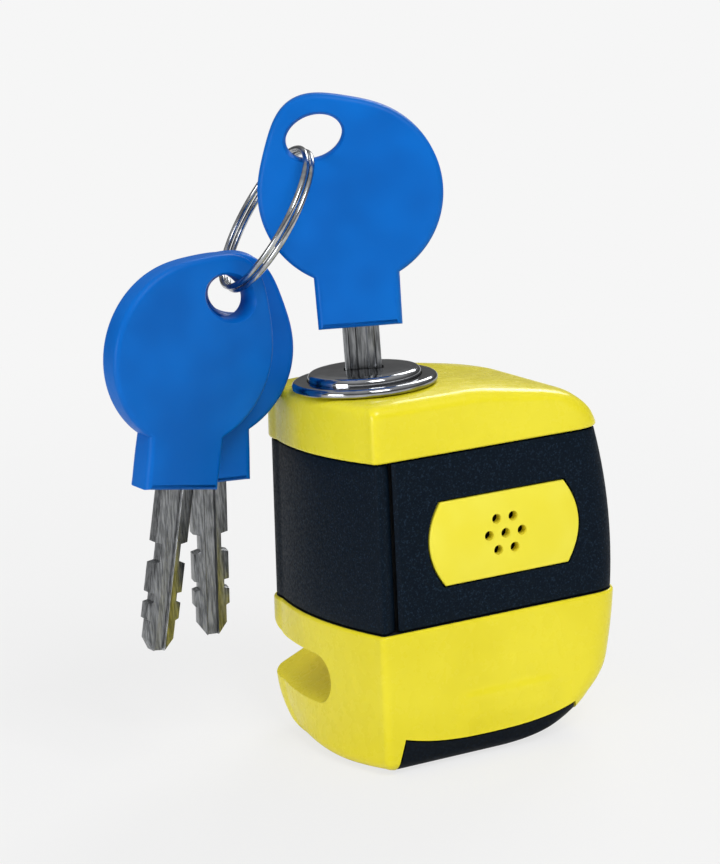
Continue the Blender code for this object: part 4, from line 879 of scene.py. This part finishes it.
# %% Camera
scene = bpy.context.scene
camera_data = bpy.data.cameras.new("camera")
camera_data.lens = 97.85
camera_data.sensor_width = 36.0
camera_data.clip_start = 0.01
camera_data.clip_end = 20.0
camera = bpy.data.objects.new("camera", camera_data)
scene.collection.objects.link(camera)
side, up, back = (0.90454, -0.41968, -0.07520), (0.15342, 0.15582, 0.97579), (-0.39781, -0.89419, 0.20534)
turn = Matrix((side, up, back)).transposed().to_4x4()
camera.matrix_world = Matrix.Translation((-0.20017, -0.41478, 0.15828)) @ turn
scene.camera = camera
print("camera at", [round(v, 3) for v in camera.location])

# %% Floor and surrounding
floor_points = np.array([[x, y, -0.0005] for x, y in ((-4.0, -4.0), (4.0, -4.0), (4.0, 4.0), (-4.0, 4.0))])
floor = bpy.data.objects.new("floor", mesh_from("floor", floor_points.tolist(), [[0, 1, 2, 3]]))
scene.collection.objects.link(floor)
BACKGROUND = rgba(246, 246, 246)
pale = bpy.data.materials.new("floor_pale")
pale.use_nodes = True
pale.node_tree.nodes.clear()
begin = Wire(pale.node_tree)
matt = begin.node("ShaderNodeBsdfDiffuse", {}, {"Color": (0.85, 0.85, 0.85, 1.0)})
glow = begin.node("ShaderNodeEmission", {}, {"Color": BACKGROUND, "Strength": 1.0})
direct = begin.node("ShaderNodeLightPath", {}, {}, 0)
mirror = begin.node("ShaderNodeLightPath", {}, {}, 3)
spot = begin.node("ShaderNodeTexCoord", {}, {}, 3)
away = begin.node("ShaderNodeVectorMath", {"operation": "LENGTH"}, {0: spot}, 1)
share = (0.8 + 0.2 * away.step(0.1, 0.5)) * direct + 0.2 * mirror
shown = begin.node("ShaderNodeMixShader", {}, {0: share, 1: matt, 2: glow})
begin.node("ShaderNodeOutputMaterial", {}, {"Surface": shown})
floor.data.materials.append(pale)

world = bpy.data.worlds.new("studio")
world.use_nodes = True
world.node_tree.nodes.clear()
scene.world = world
begin = Wire(world.node_tree)
direct = begin.node("ShaderNodeLightPath", {}, {}, 0)
way = begin.node("ShaderNodeTexCoord", {}, {}, 0)
tilt = begin.node("ShaderNodeSeparateXYZ", {}, {"Vector": way}, 2)
room = 0.12 + 0.42 * tilt.step(0.1, 0.95)
around = begin.node("ShaderNodeBackground", {}, {"Color": (1.0, 1.0, 1.0, 1.0), "Strength": room})
plain = begin.node("ShaderNodeBackground", {}, {"Color": BACKGROUND, "Strength": 1.0})
shown = begin.node("ShaderNodeMixShader", {}, {0: direct, 1: around, 2: plain})
begin.node("ShaderNodeOutputWorld", {}, {"Surface": shown})
print("floor and world ready")


# %% Lamps
def lamp(name, place, target, size, power):
    """A square soft lamp that faces its target."""
    data = bpy.data.lights.new(name, "AREA")
    data.size = size
    data.energy = power
    made = bpy.data.objects.new(name, data)
    made.location = place
    made.rotation_euler = (Vector(target) - Vector(place)).to_track_quat("-Z", "Y").to_euler()
    scene.collection.objects.link(made)
    return made


lamp("key_light", (0.05, -0.75, 0.85), (0.0, 0.0, 0.05), 0.45, 5.6)
lamp("fill_light", (-0.9, -0.3, 0.08), (0.0, 0.0, 0.02), 0.4, 3.6)
lamp("rim_light", (0.55, 0.5, 0.6), (0.0, 0.0, 0.06), 0.4, 3.0)
scene.view_settings.view_transform = "Standard"
print("lamps ready")
